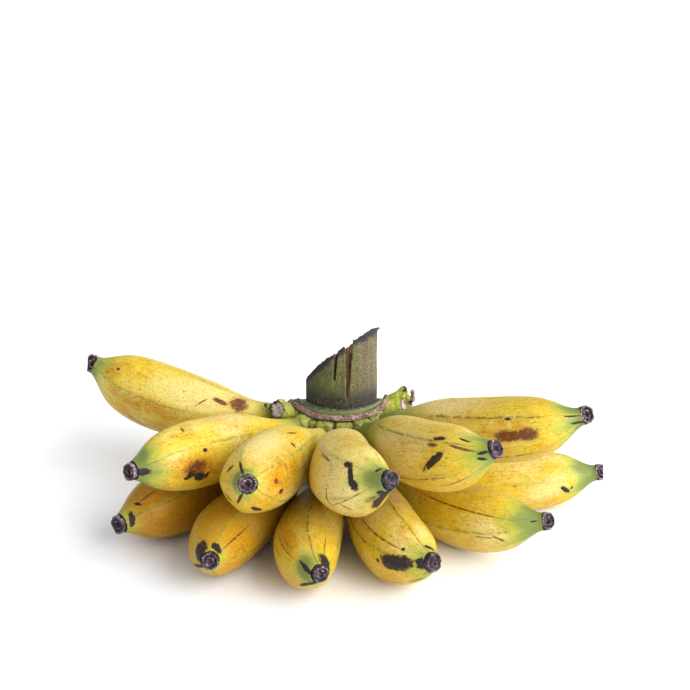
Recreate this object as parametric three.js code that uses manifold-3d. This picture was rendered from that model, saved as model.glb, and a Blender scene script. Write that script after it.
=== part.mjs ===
// A hand of small yellow bananas, lying with its cut stalk up: twelve fruit in two rows round a crown.
// Millimetres, +Z up. The origin is on the table, under the centre of the hand's bounding box.
import * as THREE from 'three';
import { mergeVertices } from 'three/addons/utils/BufferGeometryUtils.js';
import Module from 'manifold-3d';

const wasm = await Module();
wasm.setup();

// ---------------------------------------------------------------- driving dimensions

// Fruit. Shares run from the root at the crown (0) to the dry button at the blossom end (1).
const ROOT_RING = 30;          // distance of every root from the middle of the crown
const SIDES = 15;              // faces round a fruit, three to each of its five ridges
const RIDGES = 5;
const RIDGE_DEPTH = 0.055;     // how far the flats lie below the ridges, as a share of the belly radius
const BUTTON_DEPTH = 1.6;      // hollow in the dry button
const TABLE_FLAT = 1.2;        // how far a lower fruit is pressed flat where it lies on the table
// [share of the length, share of the belly radius]
const FRUIT_PROFILE = [
  [0, 0.22], [0.045, 0.265], [0.095, 0.33], [0.14, 0.41], [0.19, 0.53], [0.245, 0.665], [0.31, 0.80],
  [0.385, 0.90], [0.465, 0.96], [0.55, 0.99], [0.63, 1.0], [0.705, 0.98], [0.77, 0.925], [0.825, 0.84],
  [0.87, 0.725], [0.905, 0.60], [0.935, 0.475], [0.96, 0.37], [0.972, 0.32], [0.985, 0.30], [1.0, 0.27],
];
// Where the ridges start and reach their full height, and where they begin and end to fade.
const RIDGE_RISE = [0.1, 0.35];
const RIDGE_FADE = [0.85, 0.97];
// Where a fruit that is fuller near the root starts to swell and is at its fullest, and how it passes off.
const SWELL_RISE = [0.02, 0.14];
const SWELL_FADE = [0.2, 0.5];

// One row for each fruit: its name; its root [degrees round the crown, height]; the direction that it
// leaves the crown in [degrees round, rise]; its tip [x, y, z]; the direction that its tip points in; its
// belly radius; the turn of its ridges; and how much fuller it is near the root, [its back, and all round].
// Degrees round are 0 to the front and + to the right.
const FRUIT = [
  ['fruit_upper_1', [-88, 42], [-87, -10], [-138, 35, 54.5], [-106, 25], 19.3, 71, [0, 0]],
  ['fruit_upper_2', [-41, 44.5], [-63, -8], [-102.5, -104, 57], [-54, 2], 17.9, 21, [0.05, 0]],
  ['fruit_upper_3', [-16, 41], [-30, 6], [-42.5, -139, 68.3], [2, 28], 18.65, 20, [0.15, 0]],
  ['fruit_upper_4', [5, 40.5], [3, 2], [25.5, -143, 72.5], [56, 23], 19, 37, [0.28, 0]],
  ['fruit_upper_5', [25, 43.5], [37, 7.5], [76, -123, 79], [72, 28], 18, 42, [0.2, 0]],
  ['fruit_upper_6', [48, 45.5], [59, 7.2], [124.5, -79, 76], [90, 23], 17.6, 48, [0.12, 0]],
  ['fruit_lower_1', [-78, 24], [-66, -19], [-112, -86, 19.5], [-52, -4], 18.8, 19, [0, 0.08]],
  ['fruit_lower_2', [-37, 24], [-28, -15], [-62, -133, 24], [3, 12], 18, 48, [0, 0]],
  ['fruit_lower_3', [-9, 22], [-3, -13], [-8, -146, 26], [29, 13], 17.4, 70, [0, 0.03]],
  ['fruit_lower_4', [19, 24], [20.5, -14], [46.5, -139, 28], [45, 17], 18.7, 70, [0, 0.06]],
  ['fruit_lower_5', [38, 20], [55, -18], [104.6, -104, 32.5], [82, 10], 17.1, 19, [0, 0.05]],
  ['fruit_lower_6', [58, 24], [61, -14], [140.5, -34.5, 25], [84, 13], 16.4, 0, [0, 0.03]],
].map(([name, root, leave, tip, point, belly, roll, fuller]) => (
  { name, root, leave, tip, point, belly, roll, fuller }
));

// Crown: the cushion that the fruit stalks grow from, with the raised scar of a bract round its top.
const CROWN_X = 0.5;           // the crown sits a little to the right of the middle of the roots' ring
const CROWN_SIDES = 40;
const CROWN_BACK = 6;          // the flat cut behind the crown
// [radius, height]
const CROWN_PROFILE = [
  [0, 13], [15, 13], [20, 15.5], [23.5, 20], [24.5, 28], [24, 36], [24.8, 43], [26.6, 47], [28, 48.6],
  [28.1, 50.2], [26.6, 51.3], [25.7, 50.6], [25.5, 51.9], [24, 53], [22.8, 53.4], [0, 53.4],
];
const KNUCKLE_RADIUS = 4.1;    // each fruit stalk's swollen foot on the crown
const KNUCKLE_GAP = 0.3;       // clearance between a foot and the fruit that it carries
// Two stalks whose fruit is gone, snapped off short: the root and the direction as for a fruit, how far the
// stub reaches, its radius, and the direction that its torn face looks in.
const STUB_RING = 20;          // distance of the stubs' inner ends from the middle of the crown
const SNAPPED = [
  { root: [-55, 44.6], leave: [-84, 14], reach: 17.3, radius: 4.5, face: [-50, 20] },
  { root: [66, 44.5], leave: [90, 13], reach: 18.5, radius: 4.7, face: [66, 19] },
];
// Dry points that stand out beside them: [foot], [tip], radius at the foot, thickness across
const DRY_POINTS = [
  { foot: [-18, -4, 47.5], tip: [-40, -7, 48.5], radius: 2.2, thin: 0.8 },
  { foot: [26, -8, 46], tip: [36.5, -8.5, 59], radius: 5.4, thin: 0.42 },
];

// Stalk: a slab of the bunch's main stem, split and cut off on a slant.
const STALK_X = 2;
const STALK_RADIUS = 22;
const STALK_FOOT = 50;
const STALK_SIDES = 48;
const STALK_BACK = -10.5;      // its flat back, split away from the stem
const CROWN_CUT = { y: -10.5, z: 54, fall: 0.8 };   // behind the slab the crown is cut down on a slope
const STALK_TOP = { x: -17, y: -11.5, z: 66, alongX: 0.76, alongY: -0.68 };   // the slanting cut
// Splits down through the cut: [x, width and height at the top, x and height of the point]
const SPLITS = [
  [-0.5, 3.4, 90, -2, 66.5],
  [6.8, 6.4, 96, 5.2, 57.5],
];
const SPLIT_DEPTH = 9;

// ---------------------------------------------------------------- helpers

const RAD = Math.PI / 180;
const UP = new THREE.Vector3(0, 0, 1);
const { clamp, smoothstep } = THREE.MathUtils;

// A unit vector from degrees round the crown and degrees of rise.
function heading(round, rise) {
  return new THREE.Vector3(
    Math.sin(round * RAD) * Math.cos(rise * RAD),
    -Math.cos(round * RAD) * Math.cos(rise * RAD),
    Math.sin(rise * RAD),
  );
}

// One closed mesh with shared corners and no flat triangles at the poles.
function weld(geometry) {
  geometry.deleteAttribute('normal');
  geometry.deleteAttribute('uv');
  const merged = mergeVertices(geometry, 1e-4);
  const kept = [];
  const index = merged.index.array;
  for (let i = 0; i < index.length; i += 3) {
    const [a, b, c] = [index[i], index[i + 1], index[i + 2]];
    if (a !== b && b !== c && c !== a) kept.push(a, b, c);
  }
  merged.setIndex(kept);
  return merged;
}

function solid(geometry) {
  const g = weld(geometry);
  return new wasm.Manifold(new wasm.Mesh({
    numProp: 3,
    vertProperties: new Float32Array(g.attributes.position.array),
    triVerts: new Uint32Array(g.index.array),
  }));
}

function fromSolid(manifold) {
  const mesh = manifold.getMesh();
  const g = new THREE.BufferGeometry();
  g.setAttribute('position', new THREE.BufferAttribute(new Float32Array(mesh.vertProperties), 3));
  g.setIndex(Array.from(mesh.triVerts));
  return g;
}

// A turned solid whose axis runs along +Z.
function turned(profile, sides) {
  const points = profile.map(([r, h]) => new THREE.Vector2(r, h));
  return new THREE.LatheGeometry(points, sides).rotateX(Math.PI / 2);
}

// ---------------------------------------------------------------- fruit

function fruitPath({ root, leave, tip, point }) {
  const start = new THREE.Vector3(
    Math.sin(root[0] * RAD) * ROOT_RING, -Math.cos(root[0] * RAD) * ROOT_RING, root[1],
  );
  const end = new THREE.Vector3(...tip);
  const handle = start.distanceTo(end) / 3;
  return new THREE.CubicBezierCurve3(
    start,
    start.clone().addScaledVector(heading(...leave), handle),
    end.clone().addScaledVector(heading(...point), -handle),
    end,
  );
}

function fruitGeometry(spec, onTable) {
  const path = fruitPath(spec);
  const length = path.getLength();
  const floor = 1 - BUTTON_DEPTH / length;
  const profile = [
    [0, 0], ...FRUIT_PROFILE, [1, 0.2], [floor, 0.13], [floor, 0],
  ].map(([share, radius]) => new THREE.Vector2(radius * spec.belly, share * length));
  const geometry = new THREE.LatheGeometry(profile, SIDES);
  const position = geometry.attributes.position;
  const v = new THREE.Vector3();
  for (let i = 0; i < position.count; i++) {
    v.fromBufferAttribute(position, i);
    const share = clamp(v.y / length, 0, 1);
    const round = Math.atan2(v.x, v.z);
    const angular = smoothstep(share, ...RIDGE_RISE) * (1 - smoothstep(share, ...RIDGE_FADE));
    const flat = (1 - Math.cos(RIDGES * round)) / 2;
    const nearRoot = smoothstep(share, ...SWELL_RISE) * (1 - smoothstep(share, ...SWELL_FADE));
    const [back, allRound] = spec.fuller;
    const radius = Math.hypot(v.x, v.z) * (1 - RIDGE_DEPTH * angular * flat)
      + spec.belly * allRound * nearRoot;
    const along = path.getTangentAt(share);
    const side = along.clone().cross(UP).normalize();
    const top = side.clone().cross(along);
    const turn = round + spec.roll * RAD;
    const centre = path.getPointAt(share);
    const up = radius * Math.cos(turn) * (Math.cos(turn) > 0 ? 1 + back * nearRoot : 1);
    v.copy(centre)
      .addScaledVector(top, up)
      .addScaledVector(side, radius * Math.sin(turn));
    position.setXYZ(i, v.x, v.y, v.z);
  }
  if (onTable) layOnTable(position);
  return weld(geometry);
}

// Lowers a fruit until it reaches TABLE_FLAT below the table, and presses that much of it flat.
function layOnTable(position) {
  let lowest = Infinity;
  for (let i = 0; i < position.count; i++) lowest = Math.min(lowest, position.getZ(i));
  for (let i = 0; i < position.count; i++) {
    position.setZ(i, Math.max(0, position.getZ(i) - lowest - TABLE_FLAT));
  }
}

// ---------------------------------------------------------------- crown and stalk

// A stub along a fruit stalk's first direction, from inside the crown to its outer end.
function stub(start, direction, reach, profile, sides) {
  const g = turned(profile.map(([r, h]) => [r, h * reach]), sides);
  g.applyQuaternion(new THREE.Quaternion().setFromUnitVectors(UP, direction));
  g.translate(start.x, start.y, start.z);
  return solid(g);
}

function knuckles() {
  return FRUIT.map((spec, i) => {
    const path = fruitPath(spec);
    const direction = path.getTangentAt(0);
    const sunk = 11;
    const start = path.getPointAt(0).addScaledVector(direction, -sunk);
    const foot = KNUCKLE_RADIUS * (i % 2 ? 1 : 0.97);
    return stub(start, direction, sunk - KNUCKLE_GAP,
      [[0, 0], [foot, 0], [foot * 1.06, 0.6], [foot * 1.04, 0.8], [foot * 0.95, 1], [0, 1]], 12);
  });
}

// What is left of the two fruit stalks that were snapped off: each torn face slants.
function snappedStubs() {
  return SNAPPED.map(({ root: [round, height], leave, reach, radius, face }) => {
    const start = new THREE.Vector3(
      CROWN_X + Math.sin(round * RAD) * STUB_RING, -Math.cos(round * RAD) * STUB_RING, height,
    );
    const along = heading(...leave);
    const whole = stub(start, along, reach + 6,
      [[0, 0], [radius * 1.1, 0], [radius * 1.05, 0.4], [radius, 0.7], [radius * 0.95, 1], [0, 1]], 12);
    const beyond = new THREE.BoxGeometry(40, 40, 20).translate(0, 0, 10);
    beyond.applyQuaternion(new THREE.Quaternion().setFromUnitVectors(UP, heading(...face)));
    const end = start.clone().addScaledVector(along, reach);
    beyond.translate(end.x, end.y, end.z);
    return whole.subtract(solid(beyond));
  });
}

// Tapering points, flattened across the way they lean.
function dryPoints() {
  return DRY_POINTS.map(({ foot, tip, radius, thin }) => {
    const from = new THREE.Vector3(...foot);
    const along = new THREE.Vector3(...tip).sub(from);
    const length = along.length();
    along.normalize();
    const across = along.clone().cross(UP).normalize();
    const g = turned([[0, 0], [radius, 0], [radius * 0.75, length * 0.45], [radius * 0.2, length * 0.85],
      [radius * 0.16, length], [0, length]], 10);
    g.scale(1, thin, 1);
    g.applyMatrix4(new THREE.Matrix4().makeBasis(across.clone().cross(along), across, along));
    g.translate(from.x, from.y, from.z);
    return solid(g);
  });
}

// The cushion is cut flat behind and down on a slope from the slab, and then carries the stalks and points.
function crownSolid() {
  const behind = new THREE.BoxGeometry(120, 60, 120).translate(0, CROWN_BACK + 30, 60);
  const above = new THREE.BoxGeometry(80, 80, 60).translate(0, 40, 30);
  above.rotateX(-Math.atan(CROWN_CUT.fall)).translate(CROWN_X, CROWN_CUT.y, CROWN_CUT.z);
  let crown = solid(turned(CROWN_PROFILE, CROWN_SIDES).translate(CROWN_X, 0, 0));
  crown = crown.subtract(solid(behind)).subtract(solid(above));
  for (const piece of [...knuckles(), ...snappedStubs(), ...dryPoints()]) crown = crown.add(piece);
  return crown;
}

function stalkSolid() {
  const height = 70;             // taller than the slanting cut leaves
  const profile = [[0, 0], [STALK_RADIUS + 0.6, 0], [STALK_RADIUS, 6], [STALK_RADIUS, height], [0, height]];
  let stalk = solid(turned(profile, STALK_SIDES).translate(STALK_X, 0, STALK_FOOT));
  const back = new THREE.BoxGeometry(80, 60, 120).translate(STALK_X, STALK_BACK + 30, 90);
  stalk = stalk.subtract(solid(back));
  // The slanting cut takes off all that lies above its plane.
  const normal = new THREE.Vector3(-STALK_TOP.alongX, -STALK_TOP.alongY, 1).normalize();
  const above = new THREE.BoxGeometry(160, 160, 100).translate(0, 0, 50);
  above.applyQuaternion(new THREE.Quaternion().setFromUnitVectors(UP, normal));
  above.translate(STALK_TOP.x, STALK_TOP.y, STALK_TOP.z);
  stalk = stalk.subtract(solid(above));
  for (const [topX, width, topZ, pointX, pointZ] of SPLITS) {
    const wedge = new THREE.Shape([
      new THREE.Vector2(pointX, pointZ),
      new THREE.Vector2(topX + width / 2, topZ),
      new THREE.Vector2(topX - width / 2, topZ),
    ]);
    const cut = new THREE.ExtrudeGeometry(wedge, { depth: SPLIT_DEPTH + 10, bevelEnabled: false });
    cut.rotateX(Math.PI / 2).translate(0, -STALK_RADIUS + SPLIT_DEPTH, 0);
    stalk = stalk.subtract(solid(cut));
  }
  return stalk;
}

// ---------------------------------------------------------------- the hand

const skin = () => new THREE.MeshStandardMaterial({ color: 0xe6bf3a, roughness: 0.5, metalness: 0 });
const hand = new THREE.Group();
hand.name = 'banana_hand';

function add(name, geometry, material) {
  geometry.computeVertexNormals();
  const mesh = new THREE.Mesh(geometry, material);
  mesh.name = name;
  hand.add(mesh);
}

add('stalk_with_crown', fromSolid(crownSolid().add(stalkSolid())),
  new THREE.MeshStandardMaterial({ color: 0x74803a, roughness: 0.7, metalness: 0 }));
for (const spec of FRUIT) {
  add(spec.name, fruitGeometry(spec, spec.name.startsWith('fruit_lower')), skin());
}

// Centre the hand over the origin.
const box = new THREE.Box3().setFromObject(hand);
const centre = box.getCenter(new THREE.Vector3());
hand.position.set(-centre.x, -centre.y, -box.min.z);
hand.updateMatrixWorld(true);

export default hand;
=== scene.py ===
"""A hand of small yellow bananas: twelve ripe fruit in two rows round a green crown, which still carries
a slab of the bunch's stem. The frame gives the fruit; this file grows their skin, dry buttons, crown and
stem round it. The named sizes are in millimetres and Blender's are in metres, so MM stands where one is
turned into the other. +Z is up, and -Y is the front, where the middle fruit point."""
import math

import bmesh
import bpy
import numpy as np
from bpy.props import FloatProperty, FloatVectorProperty, IntProperty, PointerProperty
from bpy.types import Operator, Panel, PropertyGroup
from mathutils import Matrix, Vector, noise


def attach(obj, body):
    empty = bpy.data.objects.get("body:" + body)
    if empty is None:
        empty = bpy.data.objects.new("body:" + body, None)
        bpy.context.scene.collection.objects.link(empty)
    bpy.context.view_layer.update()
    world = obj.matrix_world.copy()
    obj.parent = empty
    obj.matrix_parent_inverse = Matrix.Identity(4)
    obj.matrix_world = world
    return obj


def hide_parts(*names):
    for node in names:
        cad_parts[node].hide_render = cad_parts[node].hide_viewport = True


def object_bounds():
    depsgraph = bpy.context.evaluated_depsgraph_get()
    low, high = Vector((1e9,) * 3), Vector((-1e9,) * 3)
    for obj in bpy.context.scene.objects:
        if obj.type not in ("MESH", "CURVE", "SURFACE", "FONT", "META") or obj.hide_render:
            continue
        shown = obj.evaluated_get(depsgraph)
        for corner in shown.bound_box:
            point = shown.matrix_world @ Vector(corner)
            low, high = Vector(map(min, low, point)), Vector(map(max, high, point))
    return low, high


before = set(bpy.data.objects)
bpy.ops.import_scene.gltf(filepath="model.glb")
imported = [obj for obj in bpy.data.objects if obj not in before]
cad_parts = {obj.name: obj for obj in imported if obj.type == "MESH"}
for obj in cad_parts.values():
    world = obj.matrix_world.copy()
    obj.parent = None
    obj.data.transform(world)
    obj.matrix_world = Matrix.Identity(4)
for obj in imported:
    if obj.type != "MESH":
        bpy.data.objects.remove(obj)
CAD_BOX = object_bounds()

bl_info = {
    "name": "Hand of Small Yellow Bananas",
    "version": (1, 0, 0),
    "blender": (4, 5, 0),
    "location": "View3D > Sidebar > Bananas",
    "description": "Grows ripe skin, dry buttons, crown and stem round a packed hand of bananas",
    "category": "Object",
}

MM = 0.001
CROWN_AXIS = Vector((-0.51, 52.75, 0)) * MM    # the middle of the ring of fruit roots

# A fruit in the frame is rings of corners, from its root to its button.
COLUMNS = 15                                   # corners in each ring
MERGE_GAP = 0.02                               # corners that are closer than this are one
SKIN_RINGS = 21                                # rings of skin; the ones beyond them are the button
RIDGES = 5                                     # ridges round a banana
CREASE_FROM, CREASE_TO = 4, 18                 # the rings between which the ridges are creased
SHRINK = (2 + math.cos(2 * math.pi / COLUMNS)) / 3   # what smoothing leaves of a ring's radius
NECK_WAIST = (0.05, 0.15, 0.24, 0.26, 0.16)    # how much the rings before the tip can be drawn in
TIP_TUCK = 5                                   # how far the skin's end is tucked in behind its button
TIP_CLOSE, TIP_INSET = 0.7, 0.8                # how it is drawn together there, and the inset that closes it
HOLLOWS = [(17, 0, 0.8), (5, 7, 0.2)]          # in the skin: their size, the noise's shift, their share
BELLY = 17.5                                   # middling radius of a fruit's belly
SKIN_SHIFT, BUTTON_SHIFT = 3.7, 2.3            # how far the noise shifts from one fruit to the next
EVEN = (1, 1, 1)                               # lumps that aren't squeezed: see lumpy

# How each fruit looks: how far its button nods to the front and how big it is, how much its neck is drawn in,
# its shares of cream, of orange blush, of dull mustard, which is painted shade on the lower fruit at the left
# that lie in the hand's shadow, of freckles and of rubbed ridges, and how far green reaches from its root and
# back from its tip, as shares of its length.
LOOK_WORDS = ("nod", "button", "waist", "cream", "blush", "deep", "freckles", "rubbed", "root", "neck")
LOOKS = {
    "upper_1": (1.1, 0.85, 0.5, -0.02, 0.50, 0.00, 0.5, 0.5, 0.09, 0.08),
    "upper_2": (0.3, 0.80, 0.3,  0.00, 0.60, 0.00, 0.8, 0.4, 0.11, 0.09),
    "upper_3": (0.0, 0.72, 0.0,  0.03, 0.60, 0.00, 0.8, 0.5, 0.02, 0.03),
    "upper_4": (0.1, 0.76, 0.4,  0.05, 0.60, 0.00, 0.6, 0.4, 0.02, 0.07),
    "upper_5": (0.2, 0.82, 0.4,  0.06, 0.40, 0.00, 0.7, 0.9, 0.28, 0.08),
    "upper_6": (1.0, 0.84, 0.9, -0.02, 0.80, 0.00, 1.0, 0.9, 0.20, 0.09),
    "lower_1": (0.3, 0.80, 0.3, -0.04, 0.30, 1.00, 1.0, 0.7, 0.10, 0.04),
    "lower_2": (0.0, 0.76, 0.0,  0.00, 0.45, 0.75, 1.0, 0.8, 0.10, 0.02),
    "lower_3": (0.0, 0.72, 0.0,  0.00, 0.60, 0.22, 0.9, 0.9, 0.10, 0.05),
    "lower_4": (0.0, 0.80, 0.0,  0.02, 0.50, 0.06, 0.8, 0.9, 0.10, 0.05),
    "lower_5": (0.9, 0.84, 0.8,  0.00, 0.50, 0.00, 0.6, 0.7, 0.10, 0.12),
    "lower_6": (1.3, 0.82, 1.0,  0.02, 0.50, 0.00, 0.3, 0.1, 0.10, 0.13),
}
# The larger marks on the skin: the kind, how far along it is as a share of the fruit's length, how far round
# in degrees from its top, its length and width, and how far it is turned from the fruit's own direction.
# Cream marks are partly the skin's own paler patches and partly painted highlight where the light falls
# fullest.
MARKS = {
    "upper_1": [
        ("cream", 0.4, -40, 45, 20, 0), ("blush", 0.65, -80, 40, 10, 0), ("blush", 0.86, -50, 12, 10, 0),
        ("scratch", 0.35, -50, 9, 1, -45), ("scratch", 0.66, -130, 16, 1.5, 30),
        ("bruise", 0.19, -35, 9, 9, 0), ("bruise", 0.27, -40, 8, 3, 15), ("black", 0.83, -40, 2, 1.5, 0),
    ],
    "upper_2": [
        ("blush", 0.75, -90, 30, 14, 15), ("jade", 0.95, -20, 16, 6, -60),
        ("bruise", 0.76, -88, 12, 8, -20), ("bruise", 0.74, -5, 4, 1.5, -70),
        ("black", 0.785, -100, 6, 3, -35), ("black", 0.735, -105, 7, 4, 10),
        ("black", 0.7, -105, 4, 2, -50), ("black", 0.71, -60, 2.5, 2, 0), ("black", 0.97, -80, 8, 4, 0),
    ],
    "upper_3": [
        ("cream", 0.7, -10, 45, 16, 0), ("blush", 0.8, -80, 45, 22, -20), ("jade", 0.965, 60, 18, 4, 90),
        ("bruise", 0.87, -85, 4, 3, 0), ("bruise", 0.53, -40, 4, 3, -50), ("bruise", 0.41, -20, 8, 1.5, 20),
        ("black", 0.94, 25, 10, 1.4, 0), ("black", 0.94, 150, 10, 1.4, 0), ("black", 0.89, 55, 5, 2, -70),
        ("black", 0.87, 125, 6, 2, 70), ("black", 0.86, -165, 9, 3, -20), ("black", 0.82, -105, 4, 2, -20),
    ],
    "upper_4": [
        ("cream", 0.82, 90, 40, 34, 0), ("cream", 0.2, 0, 60, 70, 0), ("jade", 0.96, 60, 15, 10, 90),
        ("scratch", 0.7, 45, 18, 1.6, 5), ("scratch", 0.76, 113, 16, 1, -75),
        ("scratch", 0.84, 115, 26, 0.8, -15), ("scratch", 0.82, 130, 8, 1.2, 70),
        ("scratch", 0.92, 140, 6, 4, 40), ("black", 0.86, 40, 4.5, 3.5, 0),
        ("black", 0.88, 60, 13, 2.4, 75), ("black", 0.89, 80, 7, 3.2, 70), ("black", 0.96, 12, 5, 1.2, -75),
        ("black", 0.96, 135, 5, 2.5, 70), ("black", 0.94, 170, 15, 7, 0),
    ],
    "upper_5": [
        ("cream", 0.45, 85, 40, 20, 0), ("bruise", 0.79, 50, 5, 2.5, 0), ("bruise", 0.89, 52, 11, 1.5, 15),
        ("scratch", 0.83, 135, 16, 1, 0), ("black", 0.81, 35, 7, 2.6, -15),
        ("black", 0.79, 80, 14, 3.5, -40), ("black", 0.96, 75, 4, 1.8, 0), ("black", 0.9, 25, 5, 1.2, 10),
        ("black", 0.95, 100, 4, 1.4, 45),
    ],
    "upper_6": [
        ("cream", 0.35, 20, 55, 14, 0), ("bruise", 0.72, 80, 15, 6.5, 0), ("bruise", 0.78, 80, 11, 6.5, 0),
        ("black", 0.72, 50, 3, 1.2, 0), ("black", 0.94, 50, 7, 1.2, 10), ("black", 0.96, 95, 6, 1.6, 25),
    ],
    "lower_1": [
        ("scratch", 0.86, -20, 12, 1, 0), ("black", 0.955, -60, 9, 2.4, -80),
        ("black", 0.91, -20, 4, 1.5, 65), ("black", 0.96, 160, 10, 2, -65),
    ],
    "lower_2": [
        ("blush", 0.85, -85, 28, 18, -25), ("scratch", 0.84, -55, 30, 1, 0), ("black", 0.96, 50, 10, 6, 60),
        ("black", 0.95, 125, 9, 2.5, 0), ("black", 0.96, -30, 6, 3.5, -75),
    ],
    "lower_3": [
        ("blush", 0.8, 40, 16, 8, 0), ("jade", 0.95, 65, 16, 7, 75), ("scratch", 0.8, 55, 24, 0.8, 0),
        ("scratch", 0.87, -40, 16, 0.8, 0), ("black", 0.96, 60, 8, 2.5, 25),
        ("black", 0.96, -50, 9, 7, -50), ("black", 0.97, -110, 7, 5, -60),
        ("black", 0.95, 140, 11, 2.5, 10),
    ],
    "lower_4": [
        ("cream", 0.86, -30, 17, 8, 0), ("scratch", 0.74, 50, 40, 1, 0), ("black", 0.88, 85, 16, 7.5, -10),
        ("black", 0.8, 90, 2, 2, 0), ("black", 0.97, 80, 6, 4, 85), ("black", 0.96, -20, 6, 2, -65),
        ("black", 0.9, 48, 1.5, 1.5, 0), ("black", 0.92, 155, 8, 1.5, 25),
    ],
    "lower_5": [
        ("cream", 0.8, 85, 18, 12, 35), ("scratch", 0.65, 50, 55, 1, 4), ("scratch", 0.78, 100, 8, 1.2, 5),
        ("scratch", 0.83, 105, 6, 1.6, 50), ("black", 0.95, 60, 3, 1, -15),
    ],
    "lower_6": [
        ("cream", 0.75, 85, 22, 12, -20), ("black", 0.83, 95, 6, 2.5, 50), ("black", 0.86, 97, 2, 1.2, -35),
    ],
}
# How ragged the edge of each kind of mark is, and how soft, as shares of its size.
KINDS = {
    "cream": (0.3, 0.7), "blush": (0.5, 0.6), "jade": (0.35, 0.9), "bruise": (1.0, 0.5),
    "scratch": (0.5, 0.5), "black": (0.9, 0.3),
}

# Crown. Places are measured from the middle of the ring of fruit roots, and turns are degrees round the
# crown, 0 to the front and + to the right.
CROWN_X = 0.5                                  # the crown's own middle
CROWN_BACK = 6                                 # the flat cut behind the crown
CUSHION_SIDES = 96
CUSHION_OUTLINE = [                            # radii and heights, from the bottom up to the rim
    (19, 1.5), (22.5, 3.5), (24, 12), (24.5, 28), (24, 36), (24.6, 43), (25.2, 47), (25.4, 50.4),
    (25.7, 51.7), (25.2, 52.9), (24.2, 53.4), (23.3, 53.1), (22.6, 52.4),
]
CORE_CUT, CORE_FALL = (0.5, -10.5, 54), 0.8    # behind the stem the cushion is cut down on a slope
CUT_START, CUT_FULL = 0.7, 0.3                 # how far in front of the flat cut its look starts, and is full
SLOPE_START, SLOPE_FULL = 0.9, 0.4             # and how far from the slope
CUSHION_LUMPS = [(0.22, 6, 0, EVEN), (0.09, 1.6, 0, EVEN)]   # what the numbers of lumps are: see lumpy
CUT_LUMPS = [(0.5, 3, 0, (3, 1, 1))]
TOP_REACH = 26.6, 26.2                         # the top's own colours end this far out
RIM_RISE, BOWL_RISE = (50.8, 51.6), (52.1, 52.8)   # heights over which the rim and its bowl begin
PAD_RADIUS, PAD_HEIGHT = 5.1, 4.3              # half a stalk pad's width and height
PAD_SUNK, PAD_OVER, PAD_ROUND = 8, 2, 1.8      # behind the fruit's root, in front of it, and its rounding
BLOCK_WIDTH, BLOCK_INNER, BLOCK_FOOT, BLOCK_ROUND = 9.4, 20, 36, 1.7
BLOCKS = [                                     # turn round the crown, outer radius and height of the top
    (-51, 29, 46), (-32, 30.5, 47.2), (-15, 32, 47.6), (5.5, 30.5, 47.2), (25, 34.5, 48), (44.5, 30.5, 48),
]
SCAR_RADIUS, SCAR_HEIGHT, SCAR_WIDTH, SCAR_THICK, SCAR_LEAN = 27, 49.3, 3.9, 2.2, 45
SCAR_ENDS = (-84, 80)                          # the turns where it starts and ends
SCAR_SIDES, SCAR_STEPS = 14, 80                # corners round it, and steps along it
SCAR_DEGREE = 0.47                             # length of one degree of it
PIT_SIZE, PIT_DEPTH, PIT_LEVEL = 0.8, 0.5, 0.1   # the cork's pits
SCAR_SIZE = [(-84, 0.7), (-70, 0.95), (-50, 1), (40, 1), (62, 1.15), (74, 1.3), (80, 1.2)]
SCAR_RISE = [(-84, -1.5), (-76, 0.8), (-62, 2.2), (-50, 1.8), (-30, 0.3), (-5, 0), (20, -0.4), (45, 0.2),
             (60, 0.3), (70, 1.3), (80, 2.4)]

# Stem: a slab of a round stem.
STEM_X, STEM_RADIUS, STEM_FOOT, STEM_LENGTH, STEM_BACK = 2, 22, 49.5, 50, -10.5
STEM_SIDES = 128
STEM_TOP, STEM_SLANT = (-17, -11.5, 66), (0.76, -0.68)   # the slanting cut: one place in it, and its slopes
SPLIT_POINT = 0.9                              # how wide the splits' lower ends are
WEDGE = 20                                     # depth of the wedge that cuts a split
SPLITS = [                                     # depth, x, width and height at the top, x and height below
    (3.2, -0.7, 1.9, 90, -2, 66.5),
    (6.5, 6.1, 4.8, 96, 5, 57.5),
]
INSIDE = -0.5, -1.4                            # how far from the stem's round outside its inside begins
STEM_FIBRES = [(1, 0.9, 0, (1, 1, 0.06)), (0.6, 2.6, 5, (1, 1, 0.1))]
FIBRE_HEIGHT, FIBRE_INSIDE = 0.10, 0.28        # how high they stand, and how much higher inside
STEM_LUMPS = [(0.35, 9, 2, (1, 1, 0.4))]
RAGGED = 1.6, 0.2                              # how far under the slanting cut its ragged edge begins
RAGGED_HEIGHT, RAGGED_SIZE = 0.7, 1.3
CURL_IN, CURL_UNDER = 0.2, 0.4                 # how far the dry edge's curls are sunk into the slab
DRY_CURLS = [                                  # the turns they reach from and to, and their radii between
    (-56, -8, 0.5, 0.8, 0.6, 0.9, 0.7, 0.4),
    (-2, 4, 0.4, 0.6, 0.4),
    (24, 60, 0.5, 1.0, 0.8, 1.2, 0.6),
]
STEM_TATTERS = [                               # loose strands: their places and their radii
    ([(17, -16, 94.4), (19.5, -11, 94.2), (22.4, -8.5, 93.6)], [1.2, 0.9, 0.5]),
    ([(9.2, -20, 86), (8.8, -20.3, 90), (7.6, -20.6, 92.3)], [0.5, 0.4, 0.3]),
    ([(6.4, -20, 84), (6.9, -20.3, 88), (8.2, -20.8, 90.6)], [0.5, 0.4, 0.3]),
]

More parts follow.
